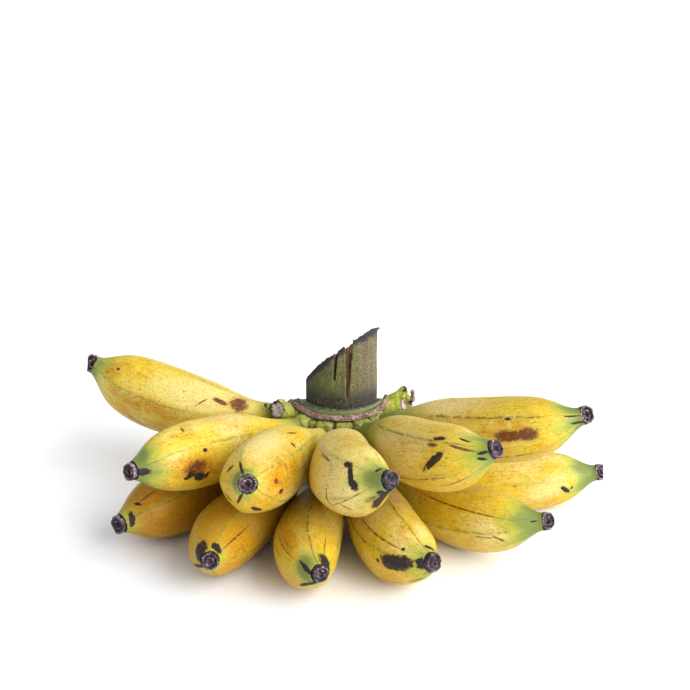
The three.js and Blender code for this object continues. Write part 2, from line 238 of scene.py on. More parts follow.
# What is left of the two fruit stalks that were snapped off. Each has the turn and height where it starts,
# the turn and rise that it grows along, those that its broken face looks along, its length and radius, how
# far its tips are dry, and the strips of peel on it with their places and radii.
STUB_START, STUB_SPARE = 20, 8                 # how far out they start, and what is cut off past the face
STUB_SIDES, STUB_GRAIN = 32, 0.6               # their grain is a share of the crown's
STUB_LUMPS = [(0.12, 2, 0, EVEN)]
BULGE, BULGE_HEIGHT, BULGE_SIZE = (-3, -0.5), 1.2, 3.5   # how far behind its face the stalk bulges
TORN_BEHIND, TORN_BEFORE = (-0.7, -0.25), (1.2, 0.6)   # how far from the face's plane the torn look begins
TORN_BEYOND = 0.3                              # and how far beyond the stalk's radius
TORN_LUMPS = [(1, 1.3, 3, EVEN), (0.6, 0.6, 6, EVEN)]
LIP_START, LIP_FULL = 1.2, 0.3                 # how far inside the radius the torn lip begins, and is full
TIP_FULL = 0.4                                 # the share of a dry tip that is all black
PEEL_CURLS = 38.8, 39.6                        # peel this far to the right has curled over and dried
SNAPPED = {
    "left": {
        "round": -55, "height": 44, "along": (-84, 14), "face": (-50, 20), "reach": 17.3, "radius": 4.6,
        "dry": 2.6, "strips": [
            ([(-26, -4, 46), (-35, -5.5, 46.4), (-39.6, -8, 48.6)], [2.2, 1.8, 0.6]),
            ([(-29, -7, 50.2), (-31, -8.5, 51.4), (-33.2, -9.5, 51.2)], [1.2, 1.2, 0.8]),
        ],
    },
    "right": {
        "round": 66, "height": 44.5, "along": (90, 13), "face": (66, 19), "reach": 18.5, "radius": 4.8,
        "dry": 2.2, "strips": [
            ([(26, -6, 49.5), (32, -8, 53.5), (36.2, -8, 59.3)], [3.2, 2.1, 0.6]),
            ([(33, -6, 49), (35, -7.5, 52.5), (36, -8, 57.5)], [3, 2.6, 1.0]),
            ([(39, -8, 47.5), (37.8, -8, 52.5), (36.4, -8, 58.5)], [1.8, 1.7, 0.7]),
            ([(39.4, -8, 56.6), (41, -8, 55.6), (41, -8, 52.8), (39.6, -9, 50.5)], [0.9, 1.3, 1.3, 0.9]),
        ],
    },
}

# Dry buttons. Their sizes are shares of a button's radius.
BUTTON_FIT = 1.04                              # a button's radius, as a share of its fruit's tip
BUTTON_DEEP, BUTTON_SIDES = 0.8, 20
CRUST_HEIGHT, LOBE_HEIGHT, CRAG_HEIGHT = 0.06, 0.18, 0.24   # its fine crust, its lobes and its rim's crags
LOBE_WIDTH = 0.12                              # how much its lobes change its radius
NOD = Vector((0, -1, 0.5))                     # where a button that nods turns to
RIM_CREST, RING_CREST = 0.93, 0.45             # the radii of its two pale crests
CREST_LEAST, CREST_NODDING = 0.2, 0.7          # how whole the crests are, and more if it nods
BUTTON_STEPS = [                               # insets towards its middle, and how far each rises
    (0.10, 0.08), (0.12, -0.07), (0.10, -0.20), (0.14, 0.06), (0.09, 0.12), (0.13, -0.10), (0.11, -0.22),
]

TABLE_SIZE, TABLE_MIDDLE = 8, (0, 1.5, 0)      # in metres
GROWN = {}                                     # what each fruit's button and stalk pad need to know


def linear(hex_colour, alpha=True):
    """The linear colour of an sRGB hex value such as "f0c84c"."""
    parts = [int(hex_colour[i:i + 2], 16) / 255 for i in (0, 2, 4)]
    parts = [p / 12.92 if p <= 0.04045 else ((p + 0.055) / 1.055) ** 2.4 for p in parts]
    return (*parts, 1.0) if alpha else tuple(parts)


# ---------------------------------------------------------------- what a user may change


def colour(name, description, hex_colour):
    """A colour that a user may change."""
    return FloatVectorProperty(name=name, description=description, subtype="COLOR", size=3,
                               min=0, max=1, default=linear(hex_colour, alpha=False))


def length(name, description, millimetres):
    """A size that a user may change."""
    return FloatProperty(name=name, description=description, subtype="DISTANCE", unit="LENGTH",
                         default=millimetres * MM)


class StageSettings(PropertyGroup):
    """The table, the light and the camera."""

    camera_place: FloatVectorProperty(
        name="Camera place", description="Where the camera stands", subtype="TRANSLATION",
        unit="LENGTH", default=(-0.0004, -0.85247, 0.46479))
    camera_turn: FloatVectorProperty(
        name="Camera turn", description="How the camera is turned", subtype="EULER",
        unit="ROTATION", default=(math.radians(66.98), 0, math.radians(-0.24)))
    camera_angle: FloatProperty(
        name="Camera angle", description="How wide the camera sees", subtype="ANGLE",
        unit="ROTATION", default=math.radians(21.364))
    key_power: FloatProperty(name="Key light", description="Strength of the soft light from the right",
                             default=3.7)
    key_turn: FloatVectorProperty(
        name="Key turn", description="How the key light is turned", subtype="EULER",
        unit="ROTATION", default=(math.radians(17), math.radians(57), 0))
    key_softness: FloatProperty(
        name="Key softness", description="How wide the key light looks from the table",
        subtype="ANGLE", unit="ROTATION", default=math.radians(65))
    fill_power: FloatProperty(name="Fill light", description="Strength of the low light from the front right",
                              default=1.7)
    fill_turn: FloatVectorProperty(
        name="Fill turn", description="How the fill light is turned", subtype="EULER",
        unit="ROTATION", default=(math.radians(66), 0, math.radians(38)))
    fill_softness: FloatProperty(
        name="Fill softness", description="How wide the fill light looks from the table",
        subtype="ANGLE", unit="ROTATION", default=math.radians(40))
    sky_power: FloatProperty(name="Room light", description="Strength of the even light of the room",
                             default=0.66)
    paper: colour("Table", "Colour of the white table", "f2f4f9")


class FruitSettings(PropertyGroup):
    """The ripe skin."""

    smoothness: IntProperty(name="Smoothness", description="Times the fruit's faces are divided",
                            default=3, min=1, max=3)
    ridge_crease: FloatProperty(name="Ridge crease", description="How sharp the five ridges stay",
                                default=0.32, min=0, max=1)
    dents: length("Dents", "Depth of the hollows all over the skin", 0.45)
    ripe: colour("Ripe yellow", "Main colour of the ripe skin", "d2b42a")
    lemon: colour("Lemon", "Cooler yellow between the warm patches", "c8ba2c")
    # Cream is partly the skin's own pale tone and, in the cream marks, partly painted highlight.
    cream: colour("Cream", "Pale yellow of the fullest parts", "dccb84")
    amber: colour("Amber", "Orange blush of the ripest patches", "c48f16")
    # Painted shade: a dull mustard that darkens the lower fruit at the left, which lie in the hand's shadow.
    shade_mustard: colour("Mustard", "Dull skin of the ripest fruit", "a27210")
    lime: colour("Lime", "Skin that hasn't quite turned", "9fa53c")
    leaf: colour("Leaf green", "Ring of green that is left at the neck", "788c40")
    jade: colour("Jade", "Deep green beside the dry button", "5b7036")
    olive: colour("Olive", "Green of the fruit's own stalk", "7c8438")
    ridge: colour("Ridge brown", "Rubbed lines along the ridges", "453410")
    freckle: colour("Freckle brown", "Fine freckles", "7c4e16")
    bruise: colour("Bruise brown", "Rubbed and bruised patches", "64301c")
    blotch: colour("Blotch black", "Patches that have turned black", "22171e")


class CrownSettings(PropertyGroup):
    """The crown, the stem and the buttons."""

    grain: length("Grain", "Size of the smallest form in the crown and the stem", 0.45)
    crown_green: colour("Crown green", "Main colour of the crown", "949a40")
    rim_green: colour("Rim green", "Greyer green of the crown's rim", "6b7c46")
    stem_olive: colour("Stem olive", "Main colour of the stem", "66683f")
    scar: colour("Scar", "Pinkish brown of the corky ridge", "80635a")
    stub_green: colour("Stub green", "Skin of the snapped stalks", "a3a83f")
    button_dark: colour("Button black", "Main colour of the dry buttons", "2c2430")


class HandSettings(PropertyGroup):
    """All the settings of the hand."""

    stage: PointerProperty(type=StageSettings)
    fruit: PointerProperty(type=FruitSettings)
    crown: PointerProperty(type=CrownSettings)


# ---------------------------------------------------------------- modelling helpers


def pick(piece):
    """Leaves one object selected and active."""
    bpy.ops.object.select_all(action="DESELECT")
    piece.select_set(True)
    bpy.context.view_layer.objects.active = piece


def choose(piece, chosen):
    """Leaves only these corners, edges or faces selected in the mesh that is being edited."""
    bm = bmesh.from_edit_mesh(piece.data)
    for group in (bm.faces, bm.edges, bm.verts):
        for part in group:
            part.select = False
    for part in chosen:
        part.select_set(True)
    bmesh.update_edit_mesh(piece.data, loop_triangles=False, destructive=False)


def apply_modifier(piece, kind, **settings):
    """Adds one modifier with its settings and applies it."""
    pick(piece)
    bpy.ops.object.modifier_add(type=kind)
    modifier = piece.modifiers[-1]
    for name, value in settings.items():
        setattr(modifier, name, value)
    bpy.ops.object.modifier_apply(modifier=modifier.name)


def corners(piece):
    """The piece's corners as rows of x, y and z, and their normals."""
    count = len(piece.data.vertices)
    places, normals = np.zeros(count * 3, np.float32), np.zeros(count * 3, np.float32)
    piece.data.vertices.foreach_get("co", places)
    piece.data.vertex_normals.foreach_get("vector", normals)
    return places.reshape(-1, 3), normals.reshape(-1, 3)


def set_corners(piece, places):
    """Moves the piece's corners, and keeps them inside the frame's box, which stands on the table."""
    low, high = (np.array(corner, np.float32) for corner in CAD_BOX)
    piece.data.vertices.foreach_set("co", np.clip(places, low, high).astype(np.float32).ravel())
    piece.data.update()


def push_out(piece, places, normals, heights):
    """Moves the piece's corners along their normals by heights in millimetres."""
    set_corners(piece, places + normals * (heights * MM)[:, None])


def unevenness(places, size, seed=0.0):
    """Smooth noise from -1 to 1 at each place, with lumps about this size."""
    shift = Vector((seed, -seed, 0.5 * seed))
    return np.array([noise.noise(Vector(place) / size + shift) for place in places.tolist()], np.float32)


def lumpy(places, layers):
    """Layers of unevenness added up: each is its height, its size in millimetres, its noise's shift, and how
    much its lumps are squeezed along x, y and z."""
    return sum(height * unevenness(places * squeeze, size * MM, shift)
               for height, size, shift, squeeze in layers)


def step_between(values, none, full):
    """0 at none and before it, 1 at full and past it, and smooth between them; full may be the lower one."""
    share = np.clip((values - none) / (full - none), 0, 1)
    return share * share * (3 - 2 * share)


def finish_piece(piece, material, slot, *nodes):
    """Smooth shading, the material, and what the piece stands for in the frame."""
    pick(piece)
    bpy.ops.object.shade_smooth()
    piece.data.materials.clear()
    piece.data.materials.append(material)
    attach(piece, "root")
    if nodes:
        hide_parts(*nodes)


# ---------------------------------------------------------------- material helpers


def add(tree, kind, inputs, out=0, **settings):
    """Adds a node with its settings and its links or values, and gives one of its outputs."""
    made = tree.nodes.new(kind if kind.startswith("Node") else "ShaderNode" + kind)
    for name, value in settings.items():
        setattr(made, name, value)
    for key, value in inputs.items():
        if isinstance(value, bpy.types.NodeSocket):
            tree.links.new(value, made.inputs[key])
        else:
            made.inputs[key].default_value = value
    return made.outputs[out] if made.outputs else made


def new_material(name):
    """A new material and its node tree, which is empty."""
    material = bpy.data.materials.new(name)
    material.use_nodes = True
    tree = material.node_tree
    tree.nodes.clear()
    return material, tree


def start_material(name, sizes, attributes):
    """A new material, its tree and Object coordinates, with noise of these sizes in millimetres on them, and
    the attributes that it reads."""
    material, tree = new_material(name)
    place = add(tree, "TexCoord", {}, out=3)
    noises = [add(tree, "TexNoise", {"Vector": place, "Scale": 1 / (size * MM), "Detail": 3.0})
              for size in sizes]
    read = [add(tree, "Attribute", {}, out=2, attribute_name=attribute) for attribute in attributes]
    return material, tree, place, noises, read


def strength(tree, *parts):
    """The product of parts: each is a number, a socket, or (socket, none, full) that goes from 0 to 1."""
    product = 1.0
    for part in parts:
        if isinstance(part, tuple):
            value, none, full = part
            part = add(tree, "MapRange", {"Value": value, "From Min": none, "From Max": full},
                       interpolation_type="SMOOTHSTEP")
        product = add(tree, "Math", {0: product, 1: part}, operation="MULTIPLY")
    return product


def layered(tree, ground, *layers):
    """A ground colour with others over it: each layer is its colour and the parts of its strength."""
    for over, *parts in layers:
        ground = add(tree, "Mix", {0: strength(tree, *parts), 6: ground, 7: over}, out=2, data_type="RGBA")
    return ground


def surface(tree, height, depth, sharpness, sockets):
    """Ends a material: its shader with these sockets, and a fine relief that is depth millimetres deep."""
    bump = add(tree, "Bump", {"Height": height, "Distance": depth * MM, "Strength": sharpness})
    shader = add(tree, "BsdfPrincipled", {**sockets, "Normal": bump})
    add(tree, "OutputMaterial", {"Surface": shader})


# ---------------------------------------------------------------- fruit


def copy_node(node, name):
    """A copy of a frame node, merged and open for editing, with an empty UV map and girth to fill in."""
    piece = bpy.data.objects.new(name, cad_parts[node].data.copy())
    bpy.context.scene.collection.objects.link(piece)
    pick(piece)
    bpy.ops.mesh.customdata_custom_splitnormals_clear()
    piece.data.uv_layers.new(name="skin")
    piece.data.attributes.new("girth", "FLOAT", "POINT")
    bpy.ops.object.mode_set(mode="EDIT")
    bpy.ops.mesh.select_all(action="SELECT")
    bpy.ops.mesh.remove_doubles(threshold=MERGE_GAP * MM)
    return piece


def join_triangles(piece):
    """Turns the fruit's triangles into four-sided faces: a diagonal is the longest side of both its faces."""
    bpy.ops.mesh.select_mode(type="EDGE")
    bm = bmesh.from_edit_mesh(piece.data)
    diagonals = [
        edge for edge in bm.edges
        if max(len(v.link_edges) for v in edge.verts) < COLUMNS
        and all(max(face.edges, key=lambda e: e.calc_length()) == edge for face in edge.link_faces)
    ]
    choose(piece, diagonals)
    bpy.ops.mesh.dissolve_edges(use_verts=False)


def read_rings(bm):
    """The fruit's root corner, its rings of corners from root to tip, and how far round each column stands.

    Round is a share of a turn, measured from the fruit's top side. Columns keep their order in every ring."""
    poles = [v for v in bm.verts if len(v.link_edges) == COLUMNS]
    root = min(poles, key=lambda v: (v.co - CROWN_AXIS).xy.length)
    along = -sum((face.normal for face in root.link_faces), Vector()).normalized()
    side = along.cross(Vector((0, 0, 1))).normalized()
    top = side.cross(along)
    first = [edge.other_vert(root) for edge in root.link_edges]
    centre = middle_of(first)

    def turn(v):
        return math.atan2((v.co - centre).dot(side), (v.co - centre).dot(top)) / (2 * math.pi) % 1

    first.sort(key=turn)
    rings, seen = [first], {root, *first}
    while True:
        ahead = [[e.other_vert(v) for e in v.link_edges if e.other_vert(v) not in seen] for v in rings[-1]]
        onward = {found[0] for found in ahead if len(found) == 1}
        if len(onward) < COLUMNS:
            break
        rings.append([found[0] for found in ahead])
        seen.update(onward)
    if len(rings) < SKIN_RINGS:
        raise RuntimeError(f"a fruit has {len(rings)} rings, and {SKIN_RINGS} are needed")
    return root, rings[:SKIN_RINGS], [turn(v) for v in first]


def middle_of(ring):
    """The middle of a ring's corners."""
    return sum((v.co for v in ring), Vector()) / len(ring)


def map_skin(bm, root, rings, rounds, shares, girths):
    """UV map: u is round the fruit and v is along it. The girth at each corner is kept in millimetres."""
    skin = bm.loops.layers.uv["skin"]
    girth = bm.verts.layers.float["girth"]
    place = {v: (column, row) for row, ring in enumerate(rings) for column, v in enumerate(ring)}
    for v in bm.verts:
        v[girth] = girths[place[v][1]] if v in place else girths[0 if v == root else -1]
    for face in bm.faces:
        known = {loop.vert: place[loop.vert] for loop in face.loops if loop.vert in place}
        columns = {column for column, _ in known.values()}
        rows = {row for _, row in known.values()}
        wraps = {0, COLUMNS - 1} <= columns
        us = {v: rounds[column] + (wraps and column == 0) for v, (column, _) in known.items()}
        for loop in face.loops:
            if loop.vert in known:
                loop[skin].uv = (us[loop.vert], shares[known[loop.vert][1]])
            elif known:
                loop[skin].uv = (sum(us.values()) / len(us), shares[min(rows)])


def ridge_columns(rings):
    """A ridge has one column of corners, and stands further out than the two between it and the next."""
    reach = [sum((ring[c].co - middle_of(ring)).length for ring in rings for c in range(k, COLUMNS, 3))
             for k in range(3)]
    return range(reach.index(max(reach)), COLUMNS, 3)


def grow_skin(node, settings, look, seed):
    """One fruit's skin, drawn in at its neck and tip, and what its button, pad and material need to know."""
    piece = copy_node(node, node.replace("fruit", "skin"))
    join_triangles(piece)
    bm = bmesh.from_edit_mesh(piece.data)
    root, rings, rounds = read_rings(bm)
    middles = [middle_of(ring) for ring in rings]
    root_place, leave = root.co.copy(), (middles[1] - root.co).normalized()
    radii = [sum((v.co - m).length for v in ring) / COLUMNS for ring, m in zip(rings, middles)]
    run = np.concatenate([[0], np.cumsum([(b - a).length for a, b in zip(middles, middles[1:])])])
    map_skin(bm, root, rings, rounds, run / run[-1], [2 * math.pi * r / MM for r in radii])
    columns = ridge_columns(rings)
    creased = zip(rings[CREASE_FROM:CREASE_TO], rings[CREASE_FROM + 1:CREASE_TO + 1])
    crests = [edge for here, ahead in creased for c in columns
              for edge in here[c].link_edges if edge.other_vert(here[c]) == ahead[c]]
    choose(piece, crests)
    bpy.ops.transform.edge_crease(value=settings.ridge_crease)
    bpy.ops.mesh.select_mode(type="VERT")
    for ring, middle in zip(rings, middles):
        choose(piece, ring)
        bpy.ops.transform.resize(value=(1 / SHRINK,) * 3, center_override=middle)
    drawn_in = [1 - look["waist"] * share for share in NECK_WAIST]
    drawn_in += [(1 + look["button"]) / 2, look["button"]]
    for ring, share in zip(rings[-len(drawn_in):], drawn_in):
        choose(piece, ring)
        bpy.ops.transform.resize(value=(share,) * 3, center_override=middle_of(ring))
    aim = (middles[-1] - middles[-3]).normalized()
    bpy.ops.transform.translate(value=-aim * TIP_TUCK * MM)
    bpy.ops.transform.resize(value=(TIP_CLOSE,) * 3, center_override=middles[-1] - aim * TIP_TUCK * MM)
    close_tip(piece, {root, *(v for ring in rings for v in ring)})
    bpy.ops.object.mode_set(mode="OBJECT")
    apply_modifier(piece, "SUBSURF", levels=settings.smoothness, render_levels=settings.smoothness)
    places, normals = corners(piece)
    depth = sum(share * (0.5 + 0.5 * unevenness(places, size * MM, seed + shift))
                for size, shift, share in HOLLOWS)
    set_corners(piece, places - normals * (settings.dents * depth)[:, None])
    return piece, {
        "root": root_place,
        "leave": leave,
        "tip": middles[-1],
        "aim": aim,
        "radius": radii[-2],
        "length": run[-1] / MM,
        "ridge": rounds[columns[0]] % (1 / RIDGES),
    }


def close_tip(piece, kept):
    """Takes off the hollow of the dry button and closes the skin under it."""
    choose(piece, [v for v in bmesh.from_edit_mesh(piece.data).verts if v not in kept])
    bpy.ops.mesh.delete(type="VERT")
    bpy.ops.mesh.select_mode(type="EDGE")
    choose(piece, [edge for edge in bmesh.from_edit_mesh(piece.data).edges if edge.is_boundary])
    bpy.ops.mesh.edge_face_add()
    bpy.ops.mesh.inset(thickness=TIP_INSET * MM)


# ---------------------------------------------------------------- ripe skin, the material


def mark_group():
    """A node group for one mark on the skin: 0 beside it, 1 on it.

    The mark is an ellipse in millimetres on the unrolled skin, turned and made ragged."""
    group = bpy.data.node_groups.new("skin_mark", "ShaderNodeTree")
    for name in ("Round", "Along", "Girth", "Length", "Grain", "At round", "At along", "Half length",
                 "Half width", "Turn", "Ragged", "Soft"):
        group.interface.new_socket(name=name, in_out="INPUT", socket_type="NodeSocketFloat")
    group.interface.new_socket(name="Mark", in_out="OUTPUT", socket_type="NodeSocketFloat")
    given = group.nodes.new("NodeGroupInput").outputs
    round_gap = add(group, "Math", {0: given["Round"], 1: given["At round"]}, operation="SUBTRACT")
    round_gap = add(group, "Math", {0: round_gap, 1: 0.5, 2: -0.5}, operation="WRAP")
    across = add(group, "Math", {0: round_gap, 1: given["Girth"]}, operation="MULTIPLY")
    along_gap = add(group, "Math", {0: given["Along"], 1: given["At along"]}, operation="SUBTRACT")
    along = add(group, "Math", {0: along_gap, 1: given["Length"]}, operation="MULTIPLY")
    flat = add(group, "CombineXYZ", {0: across, 1: along})
    turned = add(group, "VectorRotate", {"Vector": flat, "Angle": given["Turn"]}, rotation_type="Z_AXIS")
    size = add(group, "CombineXYZ", {0: given["Half width"], 1: given["Half length"], 2: 1.0})
    unit = add(group, "VectorMath", {0: turned, 1: size}, operation="DIVIDE")
    reach = add(group, "VectorMath", {0: unit}, out=1, operation="LENGTH")
    reach = add(group, "Math", {0: given["Grain"], 1: given["Ragged"], 2: reach}, operation="MULTIPLY_ADD")
    inner = add(group, "Math", {0: 1.0, 1: given["Soft"]}, operation="SUBTRACT")
    outer = add(group, "Math", {0: 1.0, 1: given["Soft"]}, operation="ADD")
    mark = add(group, "MapRange", {"Value": reach, "From Min": inner, "From Max": outer,
                                   "To Min": 1.0, "To Max": 0.0}, interpolation_type="SMOOTHSTEP")
    add(group, "NodeGroupOutput", {"Mark": mark})
    return group


def painted(tree, group, shared, kind, marks):
    """All the marks of one kind: at each point, the strongest of them."""
    ragged, soft = KINDS[kind]
    total = 0.0
    for along, turn_round, size, width, turn in (row[1:] for row in marks if row[0] == kind):
        mark = add(tree, "Group", {
            **shared, "At along": along, "At round": turn_round / 360, "Half length": size / 2,
            "Half width": width / 2, "Turn": math.radians(turn), "Ragged": ragged, "Soft": soft},
            node_tree=group)
        total = add(tree, "Math", {0: total, 1: mark}, operation="MAXIMUM")
    return total


def ripe_skin(name, facts, look, marks, group, settings, seed):
    """Ripe banana skin, waxy and slightly rough: warm yellow that pales to cream, an orange blush, green at
    both ends, fine freckles, dark rubbed ridges and black blotches tell the eye how ripe it is. Painted shade
    deepens each fruit's underside to amber and dulls the shaded fruit to mustard, and the cream marks are
    partly painted highlight."""
    material, tree = new_material(name)
    paint = {key: (*getattr(settings, key), 1) for key in (
        "ripe", "lemon", "cream", "amber", "shade_mustard", "lime", "leaf", "jade", "olive", "ridge", "freckle",
        "bruise", "blotch")}
    uv = add(tree, "UVMap", {}, uv_map="skin")
    turn = add(tree, "SeparateXYZ", {0: uv})
    along = turn.node.outputs[1]
    girth = add(tree, "Attribute", {}, out=2, attribute_name="girth")
    # The skin of the fruit as if it were straight, in millimetres: patterns on it have no seam.
    angle = add(tree, "Math", {0: turn, 1: 2 * math.pi}, operation="MULTIPLY")
    cosine = add(tree, "Math", {0: angle}, operation="COSINE")
    sine = add(tree, "Math", {0: angle}, operation="SINE")
    x = add(tree, "Math", {0: cosine, 1: BELLY}, operation="MULTIPLY")
    y = add(tree, "Math", {0: sine, 1: BELLY}, operation="MULTIPLY")
    z = add(tree, "Math", {0: along, 1: facts["length"]}, operation="MULTIPLY")
    straight = add(tree, "CombineXYZ", {0: x, 1: y, 2: z})
    straight = add(tree, "VectorMath", {0: straight, 1: (31 * seed, 17 * seed, 0)}, operation="ADD")
    drawn_out = add(tree, "VectorMath", {0: straight, 1: (1, 1, 0.07)}, operation="MULTIPLY")
    leaning = add(tree, "VectorMath", {0: straight, 1: (1, 1, 0.4)}, operation="MULTIPLY")

    wide, patch, fine, grain = (
        add(tree, "TexNoise", {"Vector": straight, "Scale": 1 / size, "Detail": 3.0, "Roughness": 0.6})
        for size in (32, 13, 3.2, 0.9))
    # Fibres that are 0.8 mm wide and run along the fruit, and the breaks in rubbed and scratched lines.
    fibres = add(tree, "TexNoise", {"Vector": drawn_out, "Scale": 1 / 0.8, "Detail": 2.0})
    breaks = add(tree, "TexNoise", {"Vector": straight, "Scale": 1 / 2.4, "Detail": 3.0})
    ragged = add(tree, "Math", {0: grain, 1: 0.5}, operation="SUBTRACT")
    torn = add(tree, "Math", {0: fine, 1: 0.5}, operation="SUBTRACT")
    torn = add(tree, "Math", {0: torn, 1: 1.6, 2: ragged}, operation="MULTIPLY_ADD")
    shared = {"Round": turn, "Along": along, "Girth": girth, "Length": facts["length"], "Grain": torn}
    kinds = {kind: painted(tree, group, shared, kind, marks) for kind in KINDS}

    tone = add(tree, "Math", {0: fine, 1: 0.25, 2: wide}, operation="MULTIPLY_ADD")
    warm = add(tree, "Math", {0: fine, 1: 0.35, 2: patch}, operation="MULTIPLY_ADD")
    # How far a point is from the nearest ridge, in millimetres.
    ridge_gap = add(tree, "Math", {0: turn, 1: facts["ridge"]}, operation="SUBTRACT")
    ridge_gap = add(tree, "Math", {0: ridge_gap, 1: 0.5 / RIDGES, 2: -0.5 / RIDGES}, operation="WRAP")
    ridge_side = add(tree, "Math", {0: ridge_gap, 1: girth}, operation="MULTIPLY")
    ridge_gap = add(tree, "Math", {0: ridge_side}, operation="ABSOLUTE")
    # The edge of the green wanders, and the rubbed line strays up to a millimetre from its ridge.
    wobble = add(tree, "Math", {0: patch, 1: 0.5}, operation="SUBTRACT")
    edge = add(tree, "Math", {0: wobble, 1: 0.10, 2: along}, operation="MULTIPLY_ADD")
    line_gap = add(tree, "Math", {0: wobble, 1: 4.0, 2: ridge_side}, operation="MULTIPLY_ADD")
    line_gap = add(tree, "Math", {0: line_gap}, operation="ABSOLUTE")
    # At the neck, green creeps furthest between two ridges. At the tip, the edge of the dry skin is torn.
    neck_edge = add(tree, "Math", {0: ridge_gap, 1: 0.005, 2: edge}, operation="MULTIPLY_ADD")
    dry_edge = add(tree, "Math", {0: torn, 1: 0.03, 2: along}, operation="MULTIPLY_ADD")
    root, neck = look["root"], 1 - look["neck"]
    rubbed = strength(tree, look["rubbed"], (along, 0.08, 0.2), (wide, 0.42, 0.52), (fine, 0.34, 0.5))
    # Freckles in cells of 1.7 mm, rarer specks in cells of 7.5 mm, and nicks that are longer than wide.
    dot, speck, nick = (add(tree, "TexVoronoi", {"Vector": place, "Scale": 1 / size})
                        for place, size in ((straight, 1.7), (straight, 7.5), (leaning, 5.0)))
    dot_chance, speck_chance, nick_chance = (add(tree, "SeparateXYZ", {0: cells.node.outputs["Color"]})
                                             for cells in (dot, speck, nick))
    skin = layered(
        tree, paint["ripe"],
        (paint["lemon"], (wide, 0.44, 0.60), 0.75),
        (paint["cream"], (tone, 0.60 - look["cream"], 0.86 - look["cream"]), 0.8),
        # Painted shade: dull mustard over the whole of each shaded fruit, strongest on the lower fruit at the
        # left.
        (paint["shade_mustard"], look["deep"]),
        # Painted shade: deeper amber towards each fruit's underside.
        (paint["amber"], (cosine, 0.1, -0.8), 0.3),
        (paint["amber"], (warm, 0.62, 0.92), look["blush"]),
        (paint["amber"], (fine, 0.50, 0.66), 0.42),
        (paint["cream"], (fine, 0.48, 0.34), 0.35 * (1 - look["deep"])),
        (paint["amber"], (fibres, 0.50, 0.66), 0.35),
        # Cream marks: partly the skin's own paler patches, partly painted highlight on the fullest lit parts.
        (paint["cream"], kinds["cream"], 0.75),
        (paint["amber"], kinds["blush"], (warm, 0.35, 0.75)),
        (paint["freckle"], kinds["blush"], (fine, 0.50, 0.64), 0.45),
        (paint["freckle"], kinds["blush"], (grain, 0.50, 0.60), 0.5),
        (paint["lime"], (ridge_gap, 2.6, 0.3), 0.3),
        (paint["lime"], (edge, root * 1.6, root * 0.7), 0.85),
        (paint["olive"], (edge, root * 0.75, root * 0.35)),
        (paint["lime"], (neck_edge, neck - 0.04, neck + 0.02), 0.8),
        (paint["leaf"], (neck_edge, neck + 0.01, neck + 0.05), 0.85),
        (paint["jade"], (neck_edge, neck + 0.03, neck + 0.08), 0.6),
        (paint["leaf"], kinds["jade"], 0.7),
        (paint["jade"], (kinds["jade"], 0.3, 1.0), 0.8),
        (paint["freckle"], (grain, 0.53, 0.66), 0.5),
        (paint["freckle"], (fibres, 0.58, 0.70), (warm, 0.5, 0.8), 0.3),
        (paint["freckle"], (dot, 0.24, 0.12), (dot_chance, 0.48, 0.52), (warm, 0.40, 0.6), look["freckles"]),
        (paint["ridge"], (nick, 0.08, 0.05), (nick_chance, 0.74, 0.78), 0.7),
        (paint["blotch"], (speck, 0.055, 0.035), (speck_chance, 0.45, 0.5)),
        (paint["freckle"], kinds["bruise"], 0.7),
        (paint["bruise"], (kinds["bruise"], 0.3, 0.9), (fine, 0.26, 0.48), 0.95),
        (paint["freckle"], kinds["scratch"], 0.6),
        (paint["ridge"], (kinds["scratch"], 0.3, 0.9), (breaks, 0.42, 0.58), 0.8),
        (paint["freckle"], (line_gap, 1.0, 0.2), rubbed, 0.45),
        (paint["ridge"], (line_gap, 0.45, 0.1), rubbed, (breaks, 0.42, 0.56)),
        (paint["ridge"], (kinds["black"], 0.0, 0.6), 0.85),
        (paint["blotch"], (kinds["black"], 0.35, 0.85), (fine, 0.22, 0.42), 0.95),
        (paint["blotch"], (dry_edge, 0.982, 0.989)))

    rough = add(tree, "Math", {0: fine, 1: 0.12, 2: 0.40}, operation="MULTIPLY_ADD")
    rough = add(tree, "Math", {0: kinds["black"], 1: 0.12, 2: rough}, operation="MULTIPLY_ADD")
    height = add(tree, "Math", {0: fibres, 1: 0.5, 2: fine}, operation="MULTIPLY_ADD")
    height = add(tree, "Math", {0: grain, 1: 0.35, 2: height}, operation="MULTIPLY_ADD")
    height = add(tree, "Math", {0: kinds["black"], 1: -0.6, 2: height}, operation="MULTIPLY_ADD")
    surface(tree, height, 0.22, 0.8, {
        "Base Color": skin, "Roughness": rough, "Specular IOR Level": 0.28, "Subsurface Weight": 0.06,
        "Subsurface Radius": (1.0, 0.6, 0.15), "Subsurface Scale": 2 * MM})
    return material


# ---------------------------------------------------------------- crown, stem and buttons, the shapes


def at_crown(x, y, z):
    """A place that is given from the middle of the ring of fruit roots."""
    return CROWN_AXIS + Vector((x, y, z)) * MM


def heading(turn, rise):
    """A unit vector from a turn round the crown and degrees of rise."""
    turn, rise = math.radians(turn), math.radians(rise)
    return Vector((math.sin(turn) * math.cos(rise), -math.cos(turn) * math.cos(rise), math.sin(rise)))


def round_crown(turn, reach, height):
    """A place that is given by its turn round the crown's own middle, its reach from there and its height."""
    return at_crown(CROWN_X, 0, height) + heading(turn, 0) * reach * MM


def crown_places(piece):
    """The piece's corners in millimetres from the middle of the ring of fruit roots."""
    return (corners(piece)[0] - np.array(CROWN_AXIS, np.float32)) / MM


